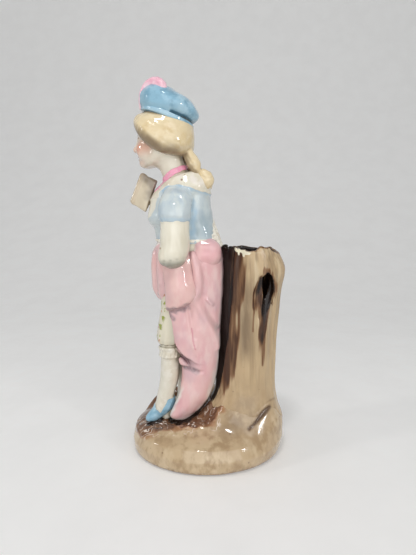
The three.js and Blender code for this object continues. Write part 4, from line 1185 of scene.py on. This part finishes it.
def paint_train(p, normal):
    x, y, z = p
    facing = normal[:, 0] - 0.35 * normal[:, 2] + 0.06 * wave(p, 5, 109)
    edge = ramp(0.72, 0.95, facing) * (1 - ramp(34, 70, z) * 0.6)
    foot = fade(16.8, 19.4, z - 0.25 * (x + 16) + 0.6 * wave(p, 4, 101))
    left = along(z, [17, 19.5, 22.7, 27.3, 32.4, 35.5, 40], [-18.6, -20.1, -19.2, -16.8, -14.1, -13.5, -13])
    lining = fade(0.3, 1.7, x - left + 0.3 * wave(p, 4, 110)) * fade(31, 38, z)
    dist, side = beside(x, z, LIP)
    window = hill((x + 11, 4.6)) * ramp(0, 4, -y)
    under = np.where(side > 0, fade(0, 0.8, dist), fade(1.6, 4, dist)) * window
    shade = np.maximum(0.85 * under, stroke(p, PINCH[1:5], 0.4, 2.2) * ramp(0, 4, -y))
    swag = [[-19.4, 76], [-16.8, 76.6], [-13.6, 77.2], [-10.4, 78.2]]
    shade = np.maximum(shade, 0.9 * stroke(p, swag, 0.4, 2.3, 0.4 * wave(p, 3, 111)) * ramp(0, 4, -y))
    tip = [[-20.6, 76.2], [-18.8, 74], [-17.2, 72.4]]
    shade = np.maximum(shade, 0.8 * stroke(p, tip, 0.3, 1.8) * ramp(0, 4, -y))
    seam = stroke(p, [[-8.1, 67.7], [-7.6, 64], [-7.3, 60.8], [-6.3, 56.9]], 0.15, 0.5) * ramp(2, 6, -y)
    return {"edge": np.maximum.reduce([edge, 0.8 * foot, lining]), "seam": seam, "shade": shade}


def paint_swag(p, normal):
    x, y, _ = p
    hem = [[-19.8, 77.6], [-16.8, 78.2], [-13, 78.8], [-9.6, 80.6]]
    shade = stroke(p, hem, 0.2, 1.5, 0.3 * wave(p, 3, 112)) * ramp(0, 4, -y)
    return {"shade": 0.9 * shade, "warm": 0.8 + 0 * x}


def paint_pannier(p, normal):
    x, _, z = p
    line = along(x, [-30, -28.4, -27.3, -25, -22], [104.6, 105.9, 108.1, 109.8, 110.6])
    piping = fade(0.5, 1.2, np.abs(z - line)) * ramp(0.3, 0.6, -normal[:, 0])
    return {"edge": piping, "warm": 0.4 + 0 * x}


def paint_puff(p, normal):
    x, _, z = p
    edge = 0.7 * fade(0.3, 1.6, x + 7.6 + 0.4 * wave(p, 3, 113))
    return {"edge": edge, "rosy": 0.8 * hill((x - 0.5, 6), (z - 104, 4.4))}


def paint_breeches(p, normal):
    x, y, z = p
    front = along(z, [56, 61.7, 69.7, 74, 90], [-25.6, -26.4, -24.9, -22.8, -23])
    return {
        "leafy": fade(1.2, 2.8, x - front) * ramp(58, 61, z),
        "cuff": fade(57.6, 58.3, z),
        "shade": 0.6 * ramp(-21.5, -16.5, x) * ramp(0, 4, -y) * fade(70, 76, z),
    }


def paint_stocking(p, normal):
    x, y, z = p
    left = along(z, [17, 24, 30, 40, 50, 60], [-24, -20.4, -19.4, -17.4, -17.4, -17.4])
    return {"shade": 0.75 * ramp(0, 3.4, x - left) * ramp(0, 3, -y) * fade(46, 54, z) * ramp(28, 33, z)}


PAINT = {
    "head": paint_head,
    "base_mound": paint_mound,
    "stump_vase": paint_stump,
    "train": paint_train,
    "breeches": paint_breeches,
    "left_stocking": paint_stocking,
    "jacket": paint_jacket,
    "hair": paint_hair,
    "kerchief": paint_kerchief,
    "near_ringlet": paint_ringlet,
    "left_sleeve": paint_sleeve,
    "right_sleeve": paint_sleeve,
    "left_arm": paint_arm,
    "letter": paint_letter,
    "left_swag": paint_swag,
    "right_swag": paint_pannier,
    "back_puff": paint_puff,
}


# Glazes
def srgb(r, g, b):
    def line(c):
        c /= 255
        return c / 12.92 if c <= 0.04045 else ((c + 0.055) / 1.055) ** 2.4

    return line(r), line(g), line(b), 1


EVEN = (1, 1, 1)
PER_METRE = 1000  # millimetres


class Glaze:
    """A painted and glazed surface, built up in layers of colour."""

    def __init__(self, name, colour, roughness=0.13, coat=0.5):
        self.material = bpy.data.materials.new(name)
        self.material.use_nodes = True
        self.nodes = self.material.node_tree.nodes
        self.links = self.material.node_tree.links
        self.shader = self.nodes["Principled BSDF"]
        self.put("Coat Weight", coat)
        self.put("Coat Roughness", 0.03)
        self.put("IOR", 1.5)
        self.place = self.node("TexCoord").outputs["Object"]
        self.colour = srgb(*colour)
        self.roughness = roughness

    def put(self, socket, value):
        self.shader.inputs[socket].default_value = value

    def node(self, kind, **inputs):
        """A node with some inputs set, each to a value or to another node's output."""
        made = self.nodes.new("ShaderNode" + kind)
        for socket, value in inputs.items():
            self.plug(made.inputs[socket.replace("_", " ")], value)
        return made

    def plug(self, socket, value):
        if hasattr(value, "is_linked"):
            self.links.new(value, socket)
        else:
            socket.default_value = value

    def math(self, kind, a, b=0.5):
        node = self.node("Math")
        node.operation = kind
        self.plug(node.inputs[0], a)
        self.plug(node.inputs[1], b)
        return node.outputs[0]

    def times(self, first, *others):
        for other in others:
            first = self.math("MULTIPLY", first, other)
        return first

    def swing(self, value, noise, amount):
        """A value moved up and down by a noise."""
        return self.math("ADD", value, self.times(self.math("SUBTRACT", noise, 0.5), amount))

    def noise(self, size_mm, stretch=EVEN, detail=3, turn=(0, 0, 0)):
        turn = [math.radians(t) for t in turn]
        mapping = self.node("Mapping", Scale=stretch, Rotation=turn, Vector=self.place)
        scale = PER_METRE / size_mm
        node = self.node("TexNoise", Scale=scale, Detail=detail, Roughness=0.55, Vector=mapping.outputs[0])
        return node.outputs["Fac"]

    def trait(self, name):
        node = self.node("Attribute")
        node.attribute_name = name
        return node.outputs["Fac"]

    def range(self, value, low, high, to_low=0, to_high=1):
        node = self.node("MapRange")
        node.interpolation_type = "SMOOTHSTEP"
        ends = {"Value": value, "From Min": low, "From Max": high, "To Min": to_low, "To Max": to_high}
        for socket, end in ends.items():
            self.plug(node.inputs[socket], end)
        return node.outputs[0]

    def layer(self, colour, amount):
        node = self.node("Mix")
        node.data_type = "RGBA"
        self.plug(node.inputs["Factor"], amount)
        self.plug(node.inputs["A"], self.colour)
        self.plug(node.inputs["B"], srgb(*colour))
        self.colour = node.outputs["Result"]

    def daub(self, colour, trait, strength, mottle=None):
        """Colour where a trait says, patchy where mottle gives a noise's size and its range."""
        if mottle:
            size, *ends = mottle
            strength = self.range(self.noise(size), *ends)
        self.layer(colour, self.times(self.trait(trait), strength))

    def specks(self, size_mm, share, colour, strength=0.8):
        node = self.node("TexVoronoi", Scale=PER_METRE / size_mm, Vector=self.place)
        split = self.node("SeparateColor", Color=node.outputs["Color"])
        chosen = self.range(split.outputs[0], 1 - share, 1 - share + 0.02)
        size = self.times(split.outputs[1], 0.2)
        near = self.range(self.math("SUBTRACT", node.outputs["Distance"], size), 0, 0.09, 1, 0)
        self.layer(colour, self.times(near, chosen, strength))

    def finish(self, bump=0.04, bump_mm=0.9, extra=None):
        self.plug(self.shader.inputs["Base Color"], self.colour)
        gloss = self.range(self.noise(7), 0.3, 0.7, self.roughness * 0.7, self.roughness * 1.4)
        self.plug(self.shader.inputs["Roughness"], gloss)
        height = self.noise(bump_mm, detail=2)
        if extra is not None:
            height = self.math("ADD", height, extra)
        node = self.node("Bump", Strength=bump, Distance=0.0004, Height=height)
        self.plug(self.shader.inputs["Normal"], node.outputs[0])
        return self.material


def brushed(name, colours, tones, specks=None, turn=(0, 0, 0), roughness=0.13, creases=(0.18, 0.75, 0.85)):
    """One painted colour: brush tones, thin pale edges, and a deeper colour in the creases, for pooled glaze
    and painted shade.

    The colours are the main one, the deep one and the pale one. A tone has a colour, a size and a
    stretch along Z.
    """
    colour, deep, pale = colours
    glaze = Glaze(name, colour, roughness)
    for tone, size, stretch in tones:
        glaze.layer(tone, glaze.range(glaze.noise(size, (1, 1, stretch), turn=turn), 0.45, 0.68))
    edge = glaze.math("ADD", glaze.trait("thin"), glaze.times(glaze.noise(3), 0.25))
    glaze.layer(pale, glaze.range(edge, 0.45, 0.95, 0, 0.7))
    low, high, most = creases
    # The deep colour in the creases stands for pooled glaze and painted shade.
    pooled = glaze.swing(glaze.trait("crease_pool_and_shade"), glaze.noise(2.5), 0.25)
    glaze.layer(deep, glaze.range(pooled, low, high, 0, most))
    if specks:
        glaze.specks(*specks)
    return glaze


UMBER = (120, 84, 52)
OCHRE = (150, 110, 60)
# The colour of the painted shade in the mound's fissure and its seam.
FISSURE_SHADE = (74, 44, 26)
ROOT_SHADE = (150, 128, 102)

# Colours, tones, what else brushed takes, and the daubs: a colour, a trait, a strength and a mottle.
PAINTS = {
    "blue_glaze": (
        ((150, 192, 213), (92, 128, 146), (208, 228, 236)),
        [((172, 206, 222), 9, 0.6), ((126, 168, 190), 5, 1)],
        {},
        [],
    ),
    "pale_blue_glaze": (
        ((204, 215, 218), (150, 182, 202), (228, 236, 236)),
        [((186, 202, 212), 8, 0.5), ((216, 224, 222), 5, 0.4)],
        {},
        [
            ((158, 176, 184), "shade", 1, (5, 0.3, 0.6, 0.55, 0.9)),
            ((150, 190, 216), "edge", 1, (4, 0.25, 0.6, 0.45, 0.95)),
            ((240, 235, 219), "front", 1),
        ],
    ),
    "white_glaze": (
        ((236, 230, 212), (168, 160, 134), (246, 243, 232)),
        [((226, 216, 194), 10, 0.5), ((240, 232, 220), 4, 1)],
        {"specks": (9, 0.14, UMBER)},
        [((132, 84, 46), "speck", 0.85)],
    ),
    "stocking_glaze": (
        ((228, 222, 205), (160, 152, 128), (242, 238, 226)),
        [((218, 208, 188), 10, 0.5), ((234, 228, 214), 4, 1)],
        {"specks": (9, 0.14, UMBER)},
        [((150, 148, 132), "shade", 0.75)],
    ),
    "paper_glaze": (
        ((211, 194, 167), (140, 122, 98), (228, 216, 192)),
        [((192, 174, 146), 6, 0.6)],
        {"specks": (7, 0.1, UMBER)},
        [((112, 98, 84), "shade", 0.8)],
    ),
    "frill_glaze": (
        ((244, 239, 224), (190, 176, 150), (252, 249, 240)),
        [((232, 220, 200), 4, 1)],
        {},
        [],
    ),
    "skin_glaze": (
        ((237, 228, 210), (176, 164, 138), (246, 241, 230)),
        [((230, 217, 196), 8, 1)],
        {},
        [
            ((238, 164, 136), "blush", 0.95),
            ((196, 84, 84), "lips", 0.7),
            ((92, 122, 140), "eye", 0.9),
            ((104, 72, 48), "line", 0.85),
        ],
    ),
    "arm_glaze": (
        ((244, 238, 220), (140, 138, 122), (245, 241, 229)),
        [((224, 216, 194), 9, 0.3), ((242, 234, 214), 5, 0.3)],
        {"specks": (11, 0.1, OCHRE)},
        [((132, 132, 120), "shade", 0.8), (OCHRE, "speck", 0.85)],
    ),
    "pink_glaze": (
        ((236, 191, 189), (172, 132, 138), (248, 232, 227)),
        [((230, 176, 179), 9, 0.35), ((240, 204, 200), 6, 0.5), ((222, 182, 186), 14, 0.6)],
        {},
        [
            ((236, 195, 184), "warm", 0.6),
            ((238, 172, 178), "rosy", 0.6),
            ((128, 108, 114), "shade", 1, (2.2, 0.25, 0.6, 0.35, 0.85)),
            ((248, 240, 232), "edge", 0.9),
            ((206, 120, 136), "seam", 0.6),
        ],
    ),
    "rose_glaze": (
        ((250, 210, 220), (238, 160, 182), (254, 236, 240)),
        [((252, 222, 229), 3.5, 1), ((244, 186, 202), 4, 1)],
        {},
        [],
    ),
    "ribbon_glaze": (
        ((255, 170, 198), (252, 130, 168), (254, 214, 224)),
        [((253, 192, 208), 2.2, 1)],
        {"creases": (0.5, 1, 0.5)},
        [],
    ),
    "blonde_glaze": (
        ((234, 214, 174), (136, 112, 80), (246, 233, 200)),
        [((226, 202, 156), 7, 1), ((240, 222, 186), 4, 1)],
        {"turn": (0, 35, 0), "creases": (0.12, 0.7, 0.85)},
        [((122, 98, 68), "shade", 0.85)],
    ),
}


def painted(name):
    colours, tones, more, daubs = PAINTS[name]
    glaze = brushed(name, colours, tones, **more)
    for daub in daubs:
        glaze.daub(*daub)
    return glaze.finish()


def breeches_glaze():
    """White with a loose spray of leaves and buds."""
    g = brushed(
        "breeches_glaze", ((226, 218, 196), (150, 142, 116), (240, 236, 222)), [((216, 206, 182), 8, 0.4)],
    )
    leaves = g.math("ADD", g.noise(3.2, detail=1), g.times(g.noise(1.1, detail=1), 0.35))
    g.daub((150, 152, 132), "shade", 0.75)
    g.daub((92, 80, 62), "cuff", 0.85)
    where = g.trait("leafy")
    g.layer((150, 160, 62), g.times(g.range(leaves, 0.72, 0.78), where))
    buds = g.range(g.noise(2.1, detail=0, turn=(20, 40, 10)), 0.66, 0.7)
    g.layer((186, 96, 52), g.times(buds, where, 0.8))
    return g.finish()


def tan_glaze():
    """The mound: mottled tan, brown where glaze pools round the feet, near-black painted shadow where they
    stand, painted highlights on the glassy pool, and darker along its lower edge.
    """
    g = brushed(
        "tan_glaze",
        ((203, 178, 142), (124, 92, 60), (220, 200, 166)),
        [((184, 156, 120), 17, 0.8), ((212, 189, 154), 9, 0.7), ((174, 146, 110), 5, 0.6)],
        (2.2, 0.08, (110, 78, 52), 0.5),
        creases=(0.35, 0.95, 0.6),
    )
    pooled = g.swing(g.trait("pool"), g.noise(5, detail=4), 0.9)
    g.daub(ROOT_SHADE, "root", 1, (9, 0.3, 0.62, 0.3, 0.8))
    g.layer((166, 118, 78), g.range(pooled, 0.25, 0.7, 0, 0.85))
    g.layer((100, 62, 38), g.range(pooled, 0.6, 1.05, 0, 0.9))
    # Paler patches and thin bright arcs on the glassy pool: painted highlights.
    puddle_sheen = g.range(g.noise(3.4, detail=1.5), 0.5, 0.66)
    g.layer((214, 182, 154), g.times(puddle_sheen, g.trait("pond"), 0.22))
    edge = g.math("ABSOLUTE", g.math("SUBTRACT", g.noise(4.6, detail=1), 0.5))
    highlight_arcs = g.times(g.range(edge, 0.006, 0.028, 1, 0), g.range(g.noise(7), 0.42, 0.56))
    g.layer((248, 234, 220), g.times(highlight_arcs, g.trait("pond"), 0.85))
    # Near-black painted shadow where the feet and the train stand on the mound.
    g.layer((38, 24, 18), g.range(g.swing(g.trait("dark"), g.noise(3), 0.5), 0.4, 0.95, 0, 0.95))
    # Painted shade in the fissure and the seam.
    g.daub(FISSURE_SHADE, "crack_shade", 0.85)
    height = g.node("SeparateXYZ", Vector=g.place).outputs[2]
    # Darker along the lowest few millimetres of the mound.
    near_foot = g.math("ADD", g.times(height, PER_METRE), g.times(g.noise(1.6, detail=4), 4))
    g.layer((112, 82, 56), g.range(near_foot, 2.6, 4.4, 0.65, 0))
    ripples = g.times(g.noise(2.6, detail=1), g.trait("pond"), 8)
    return g.finish(bump=0.12, bump_mm=1.6, extra=ripples)


def bark_glaze():
    """The stump: long streaks, a dark strip behind the figure, and a chipped rim."""
    g = brushed(
        "bark_glaze",
        ((201, 175, 138), (104, 76, 50), (218, 200, 166)),
        [((186, 160, 126), 17, 0.5)],
        (2.6, 0.05, (90, 64, 44), 0.6),
        roughness=0.18,
        creases=(0.35, 0.95, 0.6),
    )
    g.daub(ROOT_SHADE, "root", 1, (9, 0.3, 0.62, 0.2, 0.7))
    bark = g.trait("bark")
    streaks = (
        ((176, 150, 116), 5, 0.08, 0.8),
        ((214, 194, 160), 3, 0.07, 0.7),
        ((160, 136, 106), 2, 0.07, 0.7),
    )
    for tone, size, stretch, amount in streaks:
        g.layer(tone, g.times(g.range(g.noise(size, (1, 1, stretch)), 0.46, 0.68), bark, amount))
    patches = g.range(g.noise(7, (1, 1, 0.45), detail=4), 0.45, 0.65)
    g.layer((172, 146, 112), g.times(patches, g.times(bark, 0.5)))
    # Painted shade down the front of the stump, patchy.
    mid_shade = g.range(g.noise(6, (1, 1, 0.25)), 0.3, 0.6, 0.45, 0.95)
    g.layer((134, 114, 90), g.times(g.trait("mid_shade"), mid_shade))
    streak = g.times(g.math("SUBTRACT", g.noise(2, (1, 1, 0.07), detail=4), 0.5), 1.9)
    brown = g.math("ADD", g.trait("brown"), streak)
    g.layer((122, 84, 54), g.range(brown, 0.25, 0.8, 0, 0.9))
    g.layer((70, 42, 26), g.range(brown, 0.7, 1.2, 0, 0.92))
    # Near-black: the dark strip behind the figure, and painted shade in the knothole and inside the hollow.
    g.layer((26, 17, 14), g.range(g.math("ADD", g.trait("dark"), g.times(streak, 0.5)), 0.3, 0.75, 0, 0.97))
    # Painted shade in the fissure and the seam.
    g.daub(FISSURE_SHADE, "crack_shade", 0.85)
    g.layer((240, 232, 206), g.range(g.trait("chip"), 0.35, 0.6))
    grain = g.times(g.noise(1.3, (1, 1, 0.06), detail=3), 1.5, bark)
    g.put("Specular IOR Level", 0.32)
    g.put("Coat Weight", 0.08)
    return g.finish(bump=0.3, bump_mm=1.2, extra=grain)


LOOKS = {
    "blue_glaze": "left_shoe right_shoe beret_band beret_crown",
    "pale_blue_glaze": "jacket left_sleeve right_sleeve",
    "white_glaze": "kerchief",
    "stocking_glaze": "left_stocking right_stocking left_knee_band right_knee_band",
    "paper_glaze": "letter",
    "frill_glaze": "waist_frill",
    "skin_glaze": "head",
    "arm_glaze": "left_arm right_arm",
    "pink_glaze": "left_swag right_swag back_puff train",
    "rose_glaze": "plume",
    "ribbon_glaze": "neck_ribbon",
    "blonde_glaze": "hair near_ringlet far_ringlet",
    "breeches_glaze": "breeches",
    "tan_glaze": "base_mound",
    "bark_glaze": "stump_vase",
}


def glaze_of_each():
    made = {name: painted(name) for name in PAINTS}
    made.update(breeches_glaze=breeches_glaze(), tan_glaze=tan_glaze(), bark_glaze=bark_glaze())
    return {name: made[look] for look, names in LOOKS.items() for name in names.split()}


def place_pieces():
    glazes = glaze_of_each()
    for name in FORMS:
        piece = build(name)
        piece.data.materials.append(glazes[name])
        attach(piece, "root")
        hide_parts(name)


# The studio
def stage():
    """A pale sheet that runs from the table up into the wall in one curve."""
    front, start, bend, wall, half_width = -1.6, 0.3, 0.75, 1.6, 2.6
    rows = [(front, 0), (front + 1, 0), (start, 0)]
    turn = np.linspace(0.02, math.pi / 2, 60)
    rows += [(start + bend * math.sin(t), bend - bend * math.cos(t)) for t in turn]
    rows += [(start + bend, bend + wall)]
    verts = [(x, y, z) for y, z in rows for x in (-half_width, half_width)]
    faces = [(2 * i, 2 * i + 1, 2 * i + 3, 2 * i + 2) for i in range(len(rows) - 1)]
    mesh = bpy.data.meshes.new("floor")
    mesh.from_pydata(verts, [], faces)
    mesh.polygons.foreach_set("use_smooth", np.ones(len(mesh.polygons), bool))
    floor = bpy.data.objects.new("floor", mesh)
    bpy.context.scene.collection.objects.link(floor)
    paper = Glaze("paper", (236, 235, 233), roughness=0.7, coat=0)
    paper.layer((232, 231, 229), paper.range(paper.noise(40), 0.3, 0.7))
    rays = paper.node("LightPath").outputs
    mirrored = paper.math("MAXIMUM", rays["Is Glossy Ray"], rays["Is Transmission Ray"])
    seen = paper.math("MAXIMUM", rays["Is Camera Ray"], mirrored)
    paper.put("Emission Color", (1, 1, 1, 1))
    paper.plug(paper.shader.inputs["Emission Strength"], paper.times(seen, 0.16))
    mesh.materials.append(paper.finish(bump=0))


LAMPS = {  # where it stands, its width and height, and how bright it is
    "left_window": ((-0.62, -0.16, 0.34), (0.05, 0.14), 0.13),
    "right_window": ((0.5, -0.42, 0.3), (0.035, 0.11), 0.09),
    "overhead": ((-0.08, -0.28, 0.72), (0.09, 0.05), 0.19),
    "fill": ((0.1, -0.95, 0.42), (1.3, 1), 0.52),
}
LAMPS_AIM = Vector((0, 0, 0.1))
SKY = (0.96, 0.98, 1, 1)
SKY_STRENGTH = 0.36


def lamp(name, place, size, strength):
    data = bpy.data.lights.new(name, "AREA")
    data.shape = "RECTANGLE"
    data.size, data.size_y = size
    made = bpy.data.objects.new(name, data)
    away = Vector(place) - LAMPS_AIM
    made.location = place
    made.rotation_euler = away.to_track_quat("Z", "Y").to_euler()
    data.energy = strength * math.pi**2 * away.length**2
    bpy.context.scene.collection.objects.link(made)


def sky():
    world = bpy.data.worlds.new("studio")
    bpy.context.scene.world = world
    world.use_nodes = True
    colour, strength = world.node_tree.nodes["Background"].inputs[:2]
    colour.default_value, strength.default_value = SKY, SKY_STRENGTH


def camera():
    """The photograph's view: near, at chest height, and tilted down."""
    tilt_down = 8.1
    data = bpy.data.cameras.new("camera")
    data.lens, data.sensor_width = 27.05, 36
    data.clip_start = 0.01
    made = bpy.data.objects.new("camera", data)
    made.location = (0, -0.215, 0.122)
    made.rotation_euler = (math.radians(90 - tilt_down), 0, 0)
    bpy.context.scene.collection.objects.link(made)
    bpy.context.scene.camera = made


place_pieces()
stage()
for name, (place, size, strength) in LAMPS.items():
    lamp(name, place, size, strength)
sky()
camera()
bpy.context.scene.view_settings.view_transform = "Standard"
